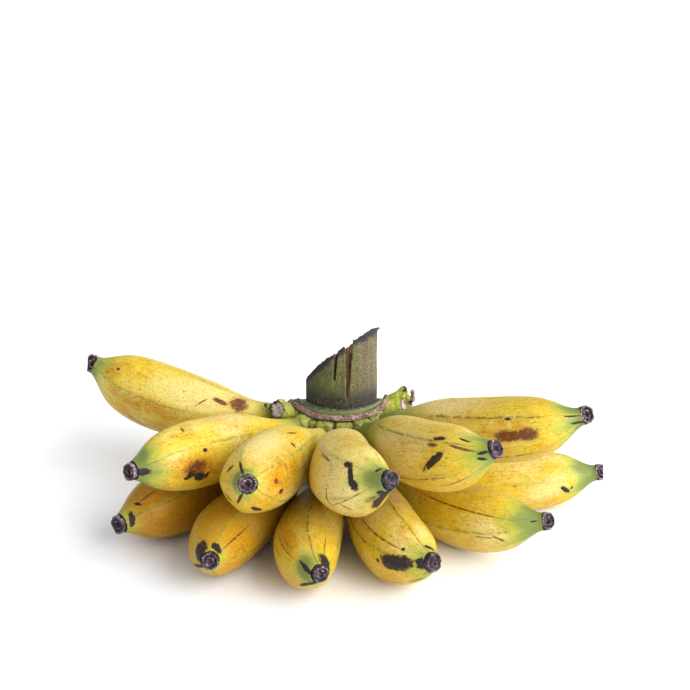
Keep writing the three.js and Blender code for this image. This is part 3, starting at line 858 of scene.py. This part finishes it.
def start_piece(name, primitive, **settings):
    """Adds a primitive, puts its place in its mesh and opens it for editing, all selected."""
    bpy.ops.object.select_all(action="DESELECT")
    primitive(**settings)
    piece = bpy.context.object
    piece.name = name
    pick(piece)
    bpy.ops.object.transform_apply(location=True, rotation=True, scale=True)
    bpy.ops.object.mode_set(mode="EDIT")
    bpy.ops.mesh.select_all(action="SELECT")
    return piece


def end_piece(piece):
    """Turns all faces outwards and ends the editing."""
    bpy.ops.mesh.select_all(action="SELECT")
    bpy.ops.mesh.normals_make_consistent(inside=False)
    bpy.ops.object.mode_set(mode="OBJECT")
    return piece


def slice_off(place, normal):
    """Cuts off what lies beyond a plane, in the mesh that is being edited, and closes the cut."""
    bpy.ops.mesh.select_all(action="SELECT")
    bpy.ops.mesh.bisect(plane_co=place, plane_no=normal, use_fill=True, clear_outer=True)


def rod(name, start, direction, reach, radius, sides=24):
    """A round rod from a place along a direction, open for editing."""
    return start_piece(
        name, bpy.ops.mesh.primitive_cylinder_add, vertices=sides, radius=radius, depth=reach,
        location=start + direction * (reach / 2), rotation=direction.to_track_quat("Z", "Y").to_euler())


def strand(name, points, radii):
    """A round, tapering strand through places that are given from the middle of the fruit roots."""
    curve = bpy.data.curves.new(name, "CURVE")
    curve.dimensions = "3D"
    curve.bevel_depth, curve.bevel_resolution = MM, 3
    curve.use_fill_caps = True
    spline = curve.splines.new("NURBS")
    spline.points.add(len(points) - 1)
    spline.order_u = min(4, len(points))
    spline.use_endpoint_u = True
    for point, place, radius in zip(spline.points, points, radii):
        point.co = (*at_crown(*place), 1)
        point.radius = radius
    made = bpy.data.objects.new(name, curve)
    bpy.context.scene.collection.objects.link(made)
    pick(made)
    bpy.ops.object.convert(target="MESH")
    return bpy.context.object


def fuse(name, pieces, grain, passes):
    """Joins solids that run into each other into one skin of even faces, smoothed this many times."""
    pick(pieces[0])
    for piece in pieces:
        piece.select_set(True)
    bpy.ops.object.join()
    fused = bpy.context.object
    fused.name = name
    apply_modifier(fused, "REMESH", mode="VOXEL", voxel_size=grain)
    apply_modifier(fused, "SMOOTH", factor=0.5, iterations=passes)
    return fused


def carve(piece, cutter):
    """Takes one solid out of another."""
    apply_modifier(piece, "BOOLEAN", operation="DIFFERENCE", object=cutter)
    bpy.data.objects.remove(cutter)


def keep(piece, name, values):
    """Stores a number at each corner for the piece's material to read."""
    attribute = piece.data.attributes.new(name, "FLOAT", "POINT")
    attribute.data.foreach_set("value", np.asarray(values, np.float32))


def relief(piece, passes):
    """How far each corner stands out of the form round it, in millimetres; in a hollow it is below 0."""
    places, normals = corners(piece)
    smoothed = piece.copy()
    smoothed.data = piece.data.copy()
    bpy.context.scene.collection.objects.link(smoothed)
    apply_modifier(smoothed, "SMOOTH", factor=0.5, iterations=passes)
    gap = ((places - corners(smoothed)[0]) * normals).sum(axis=1) / MM
    bpy.data.objects.remove(smoothed)
    return gap


def turned_solid(name, centre, outline, sides):
    """A disc that is extruded upwards through an outline of radii and heights."""
    radius, height = outline[0]
    piece = start_piece(name, bpy.ops.mesh.primitive_circle_add, vertices=sides, radius=radius * MM,
                        fill_type="NGON", location=at_crown(centre, 0, height))
    for (radius, height), (wider, higher) in zip(outline, outline[1:]):
        bpy.ops.mesh.extrude_region_move(
            TRANSFORM_OT_translate={"value": (0, 0, (higher - height) * MM)})
        bpy.ops.transform.resize(value=(wider / radius, wider / radius, 1),
                                 center_override=at_crown(centre, 0, higher))
    return end_piece(piece)


def stalk_pad(facts):
    """The swollen foot of one fruit's own stalk, from inside the crown to just over the fruit's root."""
    piece = rod("pad", facts["root"] - facts["leave"] * PAD_SUNK * MM, facts["leave"],
                (PAD_SUNK + PAD_OVER) * MM, PAD_RADIUS * MM)
    choose(piece, [edge for edge in bmesh.from_edit_mesh(piece.data).edges
                   if any(len(face.verts) > 4 for face in edge.link_faces)])
    bpy.ops.mesh.bevel(offset=PAD_ROUND * MM, segments=4, affect="EDGES")
    bpy.ops.mesh.select_all(action="SELECT")
    bpy.ops.transform.resize(value=(1, 1, PAD_HEIGHT / PAD_RADIUS), center_override=facts["root"])
    return end_piece(piece)


def stalk_block(turn, outer, top):
    """A blocky swelling of the crown over one fruit's stalk: a cube with rounded edges."""
    piece = start_piece(
        "block", bpy.ops.mesh.primitive_cube_add, size=MM, rotation=(0, 0, math.radians(turn)),
        location=round_crown(turn, (BLOCK_INNER + outer) / 2, (BLOCK_FOOT + top) / 2),
        scale=(BLOCK_WIDTH, outer - BLOCK_INNER, top - BLOCK_FOOT))
    bpy.ops.mesh.bevel(offset=BLOCK_ROUND * MM, segments=3, affect="EDGES")
    return end_piece(piece)


def crown_cushion(settings):
    """The green cushion that the fruit stalks grow from, with its pads and blocks fused on."""
    cushion = turned_solid("crown_cushion", CROWN_X, CUSHION_OUTLINE, CUSHION_SIDES)
    pick(cushion)
    bpy.ops.object.mode_set(mode="EDIT")
    slice_off(at_crown(0, CROWN_BACK, 0), (0, 1, 0))
    slice_off(at_crown(*CORE_CUT), (0, CORE_FALL, 1))
    end_piece(cushion)
    pads = [stalk_pad(facts) for facts in GROWN.values()]
    blocks = [stalk_block(*row) for row in BLOCKS]
    cushion = fuse("crown_cushion", [cushion, *pads, *blocks], settings.grain, 2)
    # The skin is uneven, more so on the cuts; the material reads where the cuts, the rim and its bowl are.
    places, normals = corners(cushion)
    local = crown_places(cushion)
    fell = CORE_CUT[2] - CORE_FALL * (local[:, 1] - CORE_CUT[1])
    reach = np.hypot(local[:, 0] - CROWN_X, local[:, 1])
    cut = np.maximum(step_between(local[:, 1], CROWN_BACK - CUT_START, CROWN_BACK - CUT_FULL),
                     step_between(np.abs(local[:, 2] - fell), SLOPE_START, SLOPE_FULL))
    rough = lumpy(places, CUSHION_LUMPS) + cut * lumpy(places, CUT_LUMPS)
    push_out(cushion, places, normals, rough)
    keep(cushion, "hollow", -relief(cushion, 14))
    keep(cushion, "cut", cut)
    top = step_between(reach, *TOP_REACH) * (1 - cut)
    keep(cushion, "rim", step_between(local[:, 2], *RIM_RISE) * top)
    keep(cushion, "bowl", step_between(local[:, 2] + rough, *BOWL_RISE) * top)
    return cushion


def bract_scar():
    """The corky ridge that the bract left round the top of the crown."""
    first, last = SCAR_ENDS
    piece = start_piece(
        "bract_scar", bpy.ops.mesh.primitive_circle_add, vertices=SCAR_SIDES, radius=MM,
        fill_type="NOTHING", location=round_crown(last, SCAR_RADIUS, SCAR_HEIGHT),
        rotation=(math.pi / 2, 0, math.radians(last - 90)))
    bpy.ops.mesh.spin(steps=SCAR_STEPS, angle=math.radians(last - first), center=at_crown(CROWN_X, 0, 0),
                      axis=(0, 0, 1))
    for end in SCAR_ENDS:
        here = round_crown(end, SCAR_RADIUS, SCAR_HEIGHT)
        choose(piece, [edge for edge in bmesh.from_edit_mesh(piece.data).edges if edge.is_boundary
                       and (edge.verts[0].co - here).length < 2 * MM])
        bpy.ops.mesh.edge_face_add()
    end_piece(piece)
    apply_modifier(piece, "SUBSURF", levels=2, render_levels=2)
    # The ring is 1 mm in radius so far. Each corner is now moved to its place in the leaning, uneven ridge.
    local = crown_places(piece)
    turn = np.degrees(np.arctan2(local[:, 0] - CROWN_X, -local[:, 1]))
    out = np.hypot(local[:, 0] - CROWN_X, local[:, 1]) - SCAR_RADIUS
    up = local[:, 2] - SCAR_HEIGHT
    size = np.interp(turn, *zip(*SCAR_SIZE))
    lean = math.radians(SCAR_LEAN)
    wide, thick = up * SCAR_WIDTH / 2 * size, out * SCAR_THICK / 2 * (0.6 + 0.4 * size)
    grain = np.stack([turn * SCAR_DEGREE, up * 2, out * 2], axis=1)
    wide *= 1 + 0.12 * unevenness(grain, 2.5, 4)
    thick *= 1 + 0.3 * unevenness(grain, 1.6, 9)
    radius = SCAR_RADIUS + wide * -math.sin(lean) + thick * math.cos(lean)
    height = SCAR_HEIGHT + np.interp(turn, *zip(*SCAR_RISE)) + wide * math.cos(lean) + thick * math.sin(lean)
    angle = np.radians(turn)
    placed = np.stack([CROWN_X + radius * np.sin(angle), -radius * np.cos(angle), height], axis=1)
    set_corners(piece, placed * MM + np.array(CROWN_AXIS))
    places, normals = corners(piece)
    pits = np.minimum(0, unevenness(places, PIT_SIZE * MM, 3) + PIT_LEVEL)
    push_out(piece, places, normals, PIT_DEPTH * pits)
    keep(piece, "edge", np.abs(up))
    keep(piece, "pit", -pits)
    return piece


def slab_top(x, y):
    """The height of the slanting cut over a place."""
    return STEM_TOP[2] + STEM_SLANT[0] * (x - STEM_TOP[0]) + STEM_SLANT[1] * (y - STEM_TOP[1])


def split_wedge(depth, top_x, width, top_z, point_x, point_z):
    """A wedge for one split: a block whose lower end is drawn together to an edge."""
    middle = at_crown(top_x, depth - STEM_RADIUS - WEDGE / 2, (top_z + point_z) / 2)
    piece = start_piece("wedge", bpy.ops.mesh.primitive_cube_add, size=MM, location=middle,
                        scale=(width, WEDGE, top_z - point_z))
    choose(piece, [v for v in bmesh.from_edit_mesh(piece.data).verts if v.co.z < middle.z])
    bpy.ops.transform.resize(value=(SPLIT_POINT / width, 1, 1), center_override=middle)
    bpy.ops.transform.translate(value=((point_x - top_x) * MM, 0, 0))
    return end_piece(piece)


def stem_slab(settings):
    """A slab of the bunch's stem, split twice from its slanting cut, whose dry edge has curled."""
    slab = start_piece(
        "stem_slab", bpy.ops.mesh.primitive_cylinder_add, vertices=STEM_SIDES, radius=STEM_RADIUS * MM,
        depth=STEM_LENGTH * MM, location=at_crown(STEM_X, 0, STEM_FOOT + STEM_LENGTH / 2))
    slice_off(at_crown(0, STEM_BACK, 0), (0, 1, 0))
    slice_off(at_crown(*STEM_TOP), (-STEM_SLANT[0], -STEM_SLANT[1], 1))
    end_piece(slab)
    for split in SPLITS:
        carve(slab, split_wedge(*split))
    curls = []
    for low, high, *radii in DRY_CURLS:
        turns = np.linspace(math.radians(low), math.radians(high), len(radii))
        rim = STEM_RADIUS - CURL_IN
        points = [(STEM_X + rim * math.sin(turn), -rim * math.cos(turn)) for turn in turns]
        curls.append(strand("curl", [(x, y, slab_top(x, y) - CURL_UNDER) for x, y in points], radii))
    curls += [strand("curl", points, radii) for points, radii in STEM_TATTERS]
    slab = fuse("stem_slab", [slab, *curls], settings.grain, 2)
    # Fibres run up the slab, deeper inside the splits; the dry edge under the cut is ragged.
    places, normals = corners(slab)
    local = crown_places(slab)
    outside = np.hypot(local[:, 0] - STEM_X, local[:, 1]) - STEM_RADIUS
    below = slab_top(local[:, 0], local[:, 1]) - local[:, 2]
    inside = step_between(outside, *INSIDE)
    fibres = lumpy(places, STEM_FIBRES)
    rough = FIBRE_HEIGHT * fibres + inside * FIBRE_INSIDE * fibres + lumpy(places, STEM_LUMPS)
    ragged = step_between(below, *RAGGED) * unevenness(places, RAGGED_SIZE * MM, 8)
    placed = places + normals * (rough * MM)[:, None]
    placed[:, 2] += RAGGED_HEIGHT * MM * ragged
    set_corners(slab, placed)
    keep(slab, "inside", inside)
    keep(slab, "below", below)
    # The sides that face the key light from the right are marked pale: painted light.
    keep(slab, "pale", step_between(normals[:, 0], 0.1, 0.5))
    keep(slab, "hollow", -relief(slab, 10))
    return slab


def snapped_stalk(side, settings):
    """What is left of a fruit's stalk that was snapped off, with strips of its peel."""
    spec = SNAPPED[side]
    start = round_crown(spec["round"], STUB_START, spec["height"])
    along, face = heading(*spec["along"]), heading(*spec["face"])
    end = start + along * spec["reach"] * MM
    radius = spec["radius"]
    body = rod("stub", start, along, (spec["reach"] + STUB_SPARE) * MM, radius * MM, STUB_SIDES)
    slice_off(end, face)
    end_piece(body)
    strips = [strand("strip", points, radii) for points, radii in spec["strips"]]
    stub = fuse("snapped_stalk_" + side, [body, *strips], STUB_GRAIN * settings.grain, 3)
    # The broken face sinks in behind its torn lip, and the stalk bulges a little before it.
    places, normals = corners(stub)
    flat_gap = (places - np.array(end, np.float32)) @ np.array(face, np.float32) / MM
    beside = places - np.array(start, np.float32)
    beside -= np.outer(beside @ np.array(along, np.float32), np.array(along, np.float32))
    away = np.linalg.norm(beside, axis=1) / MM
    torn = step_between(flat_gap, *TORN_BEHIND) * step_between(away, radius + TORN_BEYOND, radius)
    torn *= step_between(flat_gap, *TORN_BEFORE)
    lumps = lumpy(places, TORN_LUMPS)
    bulge = BULGE_HEIGHT * step_between(flat_gap, *BULGE) * unevenness(places, BULGE_SIZE * MM, 4)
    places = places + normals * (bulge * MM)[:, None]
    lip = step_between(away, radius - LIP_START, radius - LIP_FULL)
    places = places + np.outer(torn * (0.45 * lumps - 0.5 + 0.9 * lip * (0.5 + lumps)) * MM, np.array(along))
    places = places + normals * (lumpy(places, STUB_LUMPS) * MM)[:, None]
    set_corners(stub, places)
    tips = np.array([at_crown(*points[-1]) for points, _ in spec["strips"]], np.float32)
    near = np.min(np.linalg.norm(places[:, None] - tips[None], axis=2), axis=1) / MM
    keep(stub, "torn", torn)
    keep(stub, "lip", torn * lip)
    keep(stub, "tip", step_between(near, spec["dry"], TIP_FULL * spec["dry"]))
    keep(stub, "curl", step_between(crown_places(stub)[:, 0], *PEEL_CURLS))
    keep(stub, "hollow", -relief(stub, 10))
    return stub


def button_master():
    """A dry button with a radius of 1 that looks up: a rim, a groove, an inner ring and a hollow."""
    piece = start_piece("button_master", bpy.ops.mesh.primitive_cylinder_add, vertices=BUTTON_SIDES,
                        radius=1.0, depth=BUTTON_DEEP, location=(0, 0, -BUTTON_DEEP / 2))
    choose(piece, [face for face in bmesh.from_edit_mesh(piece.data).faces if face.normal.z > 0.9])
    for inset, lift in BUTTON_STEPS:
        bpy.ops.mesh.inset(thickness=inset, depth=lift)
    end_piece(piece)
    apply_modifier(piece, "BEVEL", width=0.04, segments=2, limit_method="ANGLE")
    apply_modifier(piece, "SUBSURF", levels=2, render_levels=2)
    return piece


def dry_button(name, master, facts, seed):
    """One button at a fruit's tip, with its own lumps and cracks."""
    piece = master.copy()
    piece.data = master.data.copy()
    piece.name = name
    bpy.context.scene.collection.objects.link(piece)
    places, normals = corners(piece)
    fine = unevenness(places, 0.16, seed) + 0.5 * unevenness(places, 0.08, seed)
    lobes = unevenness(places * (1, 1, 0.3), 0.5, seed + 3)
    reach = np.hypot(places[:, 0], places[:, 1])
    crags = unevenness(places, 0.3, seed + 5)
    places = places + normals * (CRUST_HEIGHT * fine)[:, None]
    places[:, 2] += LOBE_HEIGHT * lobes * step_between(reach, 0.2, 0.8)
    places[:, 2] += CRAG_HEIGHT * crags * step_between(reach, 0.95, 0.7)
    places[:, :2] *= (1 + LOBE_WIDTH * lobes)[:, None]
    looks_at = facts["aim"] + NOD * facts["nod"]
    turn = looks_at.to_track_quat("Z", "Y").to_matrix()
    placed = places @ (np.array(turn, np.float32) * facts["button"]).T + np.array(facts["tip"], np.float32)
    whole = CREST_LEAST + CREST_NODDING * facts["nod"]
    keep(piece, "crest", button_crests(places, reach, lobes, fine, whole))
    set_corners(piece, placed)
    return piece


def button_crests(places, reach, lobes, fine, whole):
    """Where the pale crests of a button's rings are: 1 on them, 0 in the dark between them."""
    rim = step_between(np.abs(reach - RIM_CREST), 0.16, 0.05) * step_between(places[:, 2], -0.3, -0.05)
    ring = 0.5 * step_between(np.abs(reach - RING_CREST), 0.12, 0.03)
    return np.clip(np.maximum(rim, ring) * (whole + 2.4 * lobes + 0.8 * fine), 0, 1)


# ---------------------------------------------------------------- crown, stem and buttons, the materials


def green_crown(settings):
    """Living green skin of a crown, waxy and mottled: it is greyer at the rim, brown in its creases and dry
    where it was cut, which ties the yellow fruit to the old stem. The brown in its creases and between its
    pads is partly its own browning and partly painted shade."""
    material, tree, _, (wide, patch, fine, grain), (hollow, cut, rim, bowl) = start_material(
        "green_crown", (14, 5, 1.6, 0.5), ("hollow", "cut", "rim", "bowl"))
    skin = layered(
        tree, (*settings.crown_green, 1),
        (linear("9a944c"), (wide, 0.46, 0.60)),
        (linear("667437"), (patch, 0.54, 0.70), 0.5),
        (linear("5d5733"), (fine, 0.50, 0.66), 0.75),
        ((*settings.rim_green, 1), rim),
        (linear("33402c"), rim, (fine, 0.55, 0.7), 0.5),
        (linear("3a3536"), bowl, (fine, 0.66, 0.50), 0.92),
        # Brown in the creases and between the pads: partly the crown's own browning, partly painted shade.
        (linear("4c4038"), (hollow, 0.006, 0.06), 0.95),
        (linear("9d8660"), cut),
        (linear("5a4430"), cut, (patch, 0.48, 0.62), 0.8))
    height = add(tree, "Math", {0: grain, 1: 0.4, 2: fine}, operation="MULTIPLY_ADD")
    rough = add(tree, "Math", {0: cut, 1: 0.3, 2: 0.5}, operation="MULTIPLY_ADD")
    surface(tree, height, 0.25, 0.6, {"Base Color": skin, "Roughness": rough, "Specular IOR Level": 0.4})
    return material


def corky_scar(settings):
    """Cork that healed over where the bract was: pinkish brown, pitted, with dark edges."""
    material, tree, _, (patch, fine, grain), (edge, pit) = start_material(
        "corky_scar", (4, 1.1, 0.5), ("edge", "pit"))
    cork = layered(
        tree, (*settings.scar, 1),
        (linear("b39b92"), (patch, 0.5, 0.66), 0.7),
        (linear("c4b0a6"), (fine, 0.6, 0.72), 0.7),
        (linear("4a3530"), (grain, 0.52, 0.66), 0.7),
        (linear("2d1e1d"), (pit, 0.05, 0.4), 0.9),
        (linear("3a2a28"), (edge, 0.66, 0.92), 0.9))
    surface(tree, fine, 0.3, 0.7, {"Base Color": cork, "Roughness": 0.75, "Specular IOR Level": 0.3})
    return material


def old_stem(settings):
    """Skin of the bunch's stem, a dull olive mottled with darker green and streaked with grey brown; its foot
    and its cut edge have dried purple black, and the splits show pale fibres. Inside the splits, the sides
    that face the light from the right are painted paler as painted light, and the deepest hollows are painted
    near black as painted shade."""
    material, tree, place, (patch, mottle, fine), (inside, below, hollow, pale) = start_material(
        "old_stem", (9, 2.4, 0.8), ("inside", "below", "hollow", "pale"))
    # Streaks and fibres that run up the stem.
    drawn_out = add(tree, "VectorMath", {0: place, 1: (1, 1, 0.08)}, operation="MULTIPLY")
    streak, fibre = (
        add(tree, "TexNoise", {"Vector": drawn_out, "Scale": 1 / (size * MM), "Detail": 3.0})
        for size in (3.4, 0.7))
    across = add(tree, "SeparateXYZ", {0: place})
    up = across.node.outputs[2]
    foot = add(tree, "Math", {0: mottle, 1: -12 * MM, 2: up}, operation="MULTIPLY_ADD")
    dried = add(tree, "Math", {0: mottle, 1: 6.0, 2: below}, operation="MULTIPLY_ADD")
    bark = layered(
        tree, (*settings.stem_olive, 1),
        (linear("827a40"), (mottle, 0.46, 0.64), (across, -14 * MM, 2 * MM), 0.8),
        (linear("4b593c"), (patch, 0.42, 0.6), (across, 6 * MM, -10 * MM), 0.8),
        (linear("6b5650"), (streak, 0.34, 0.62), (across, 1 * MM, 15 * MM), 0.9),
        (linear("35382a"), (fine, 0.48, 0.60), 0.6),
        (linear("8c8452"), (fine, 0.44, 0.34), 0.25),
        (linear("2c2a24"), (streak, 0.60, 0.72), 0.4),
        (linear("2f2a30"), (foot, 59 * MM, 51 * MM), (fine, 0.66, 0.46)),
        (linear("7d6a70"), (foot, 50 * MM, 47 * MM), (fine, 0.6, 0.68), 0.8),
        (linear("2f2834"), (dried, 8.6, 5.0)),
        (linear("3d2823"), inside),
        (linear("6d5038"), inside, (across, 2 * MM, 3 * MM)),
        (linear("cdb3a0"), inside, (across, 2 * MM, 3 * MM), (across, 6 * MM, 5 * MM), (fibre, 0.3, 0.5)),
        # Painted light: paler fibres on the sides of the splits that face the light from the right.
        (linear("ccb09a"), inside, pale, (fibre, 0.35, 0.6), 0.6),
        # Painted shade: near black in the deepest hollows of the splits.
        (linear("251a1a"), inside, (hollow, 0.05, 0.3)),
        (linear("b79d8e"), inside, (below, 2.5, 0.8), (fibre, 0.5, 0.6), 0.8))
    height = add(tree, "Math", {0: fibre, 1: 0.8, 2: mottle}, operation="MULTIPLY_ADD")
    surface(tree, height, 0.3, 0.7, {"Base Color": bark, "Roughness": 0.62, "Specular IOR Level": 0.35})
    return material


def snapped_green(settings):
    """Green fruit stalk that was snapped: fresh skin, a pale stringy break with brown rims and black tips."""
    material, tree, _, (patch, fine, grain), (torn, lip, tip, curl, hollow) = start_material(
        "snapped_green", (4, 1.2, 0.5), ("torn", "lip", "tip", "curl", "hollow"))
    skin = layered(
        tree, (*settings.stub_green, 1),
        (linear("c9c255"), (patch, 0.5, 0.64), 0.7),
        (linear("6a7f34"), (fine, 0.52, 0.66), 0.7),
        (linear("c9bcb4"), torn),
        (linear("8a6650"), torn, (fine, 0.50, 0.62), 0.8),
        (linear("3a2620"), torn, (fine, 0.62, 0.70)),
        (linear("6e4c38"), lip, 0.8),
        (linear("3a2720"), lip, (patch, 0.38, 0.50)),
        # Painted shade: brown in the stalk's hollows and creases.
        (linear("5d4a36"), (hollow, 0.08, 0.3), 0.8),
        (linear("a58a80"), curl, 0.9),
        (linear("4a3634"), curl, (fine, 0.50, 0.60)),
        (linear("2a2226"), tip))
    surface(tree, grain, 0.25, 0.6, {"Base Color": skin, "Roughness": 0.55, "Specular IOR Level": 0.4})
    return material


def dry_flower_end(settings):
    """Dried end of the flower on a banana: purple black and brittle, with pale crests on its rings."""
    material, tree, _, (patch, fine, grain), (crest,) = start_material(
        "dry_flower_end", (3, 1.0, 0.4), ("crest",))
    crust = layered(
        tree, (*settings.button_dark, 1),
        (linear("57444c"), (patch, 0.46, 0.60), 0.8),
        (linear("191419"), (fine, 0.54, 0.64), 0.9),
        (linear("8f7880"), crest, (grain, 0.40, 0.56), 0.8),
        (linear("bda6a9"), crest, (fine, 0.52, 0.64)))
    surface(tree, grain, 0.3, 0.7, {"Base Color": crust, "Roughness": 0.7, "Specular IOR Level": 0.35})
    return material


def table_paper(settings):
    """Matt white card: it gives the eye a clean ground with only a soft shadow."""
    material, tree = new_material("white_card")
    shader = add(tree, "BsdfPrincipled", {"Base Color": (*settings.paper, 1), "Roughness": 0.9})
    add(tree, "OutputMaterial", {"Surface": shader})
    return material


# ---------------------------------------------------------------- operators


class HAND_OT_stage(Operator):
    """Lay the white table, the soft light and the camera"""

    bl_idname = "banana_hand.stage"
    bl_label = "Table, light and camera"

    def execute(self, context):
        settings = context.scene.banana_hand.stage
        bpy.ops.object.select_all(action="DESELECT")
        bpy.ops.mesh.primitive_plane_add(size=TABLE_SIZE, location=TABLE_MIDDLE)
        table = context.object
        table.name = "table"
        table.data.materials.append(table_paper(settings))
        for name in ("key", "fill"):
            bpy.ops.object.light_add(type="SUN", rotation=getattr(settings, name + "_turn"))
            light = context.object
            light.name = name
            light.data.energy = getattr(settings, name + "_power")
            light.data.angle = getattr(settings, name + "_softness")
        world = bpy.data.worlds.new("room")
        world.use_nodes = True
        light = world.node_tree.nodes["Background"].inputs
        light["Color"].default_value = linear("ffffff")
        light["Strength"].default_value = settings.sky_power
        context.scene.world = world
        context.scene.view_settings.view_transform = "Standard"
        bpy.ops.object.camera_add(location=settings.camera_place, rotation=settings.camera_turn)
        camera = context.object
        camera.data.sensor_fit = "HORIZONTAL"
        camera.data.angle = settings.camera_angle
        context.scene.camera = camera
        return {"FINISHED"}


class HAND_OT_fruit(Operator):
    """Grow the skin of all twelve fruit"""

    bl_idname = "banana_hand.fruit"
    bl_label = "Fruit skins"

    def execute(self, context):
        settings = context.scene.banana_hand.fruit
        group = mark_group()
        for seed, short in enumerate(sorted(LOOKS)):
            node = "fruit_" + short
            look = dict(zip(LOOK_WORDS, LOOKS[short]))
            piece, facts = grow_skin(node, settings, look, SKIN_SHIFT * seed)
            material = ripe_skin("ripe_skin_" + short, facts, look, MARKS[short], group, settings, seed)
            finish_piece(piece, material, "banana_skin", node)
            button = facts["radius"] * BUTTON_FIT * look["button"]
            GROWN[short] = {**facts, "nod": look["nod"], "button": button}
        return {"FINISHED"}


class HAND_OT_buttons(Operator):
    """Put a dry button on the tip of every fruit"""

    bl_idname = "banana_hand.buttons"
    bl_label = "Dry buttons"

    def execute(self, context):
        if not GROWN:
            raise RuntimeError("the fruit are grown before their buttons")
        material = dry_flower_end(context.scene.banana_hand.crown)
        master = button_master()
        for seed, (short, facts) in enumerate(GROWN.items()):
            piece = dry_button("button_" + short, master, facts, BUTTON_SHIFT * seed)
            finish_piece(piece, material, "banana_skin")
        bpy.data.objects.remove(master)
        return {"FINISHED"}


class HAND_OT_crown(Operator):
    """Grow the crown with its pads and blocks, the bract's scar and the two snapped stalks"""

    bl_idname = "banana_hand.crown"
    bl_label = "Crown"

    def execute(self, context):
        if not GROWN:
            raise RuntimeError("the fruit are grown before the crown")
        settings = context.scene.banana_hand.crown
        finish_piece(crown_cushion(settings), green_crown(settings), "green_stalk", "stalk_with_crown")
        finish_piece(bract_scar(), corky_scar(settings), "green_stalk")
        material = snapped_green(settings)
        for side in SNAPPED:
            finish_piece(snapped_stalk(side, settings), material, "green_stalk")
        return {"FINISHED"}


class HAND_OT_stem(Operator):
    """Cut the slab of the bunch's stem that is left on the crown"""

    bl_idname = "banana_hand.stem"
    bl_label = "Stem"

    def execute(self, context):
        settings = context.scene.banana_hand.crown
        finish_piece(stem_slab(settings), old_stem(settings), "green_stalk", "stalk_with_crown")
        return {"FINISHED"}


class HAND_PT_panel(Panel):
    """Lists the steps that dress the hand"""

    bl_idname = "HAND_PT_panel"
    bl_label = "Hand of Bananas"
    bl_space_type = "VIEW_3D"
    bl_region_type = "UI"
    bl_category = "Bananas"

    def draw(self, context):
        for step in STEPS:
            self.layout.operator(step.bl_idname)


STEPS = (HAND_OT_stage, HAND_OT_fruit, HAND_OT_buttons, HAND_OT_crown, HAND_OT_stem)
CLASSES = (StageSettings, FruitSettings, CrownSettings, HandSettings, *STEPS, HAND_PT_panel)


def register():
    """Registers the add-on's classes and its settings."""
    for made in CLASSES:
        bpy.utils.register_class(made)
    bpy.types.Scene.banana_hand = PointerProperty(type=HandSettings)


def unregister():
    """Takes the settings and the classes away again."""
    del bpy.types.Scene.banana_hand
    for made in reversed(CLASSES):
        bpy.utils.unregister_class(made)


def main():
    """Registers the add-on and dresses the frame step by step."""
    register()
    for step in STEPS:
        group, name = step.bl_idname.split(".")
        getattr(getattr(bpy.ops, group), name)()


if __name__ == "__main__":
    main()
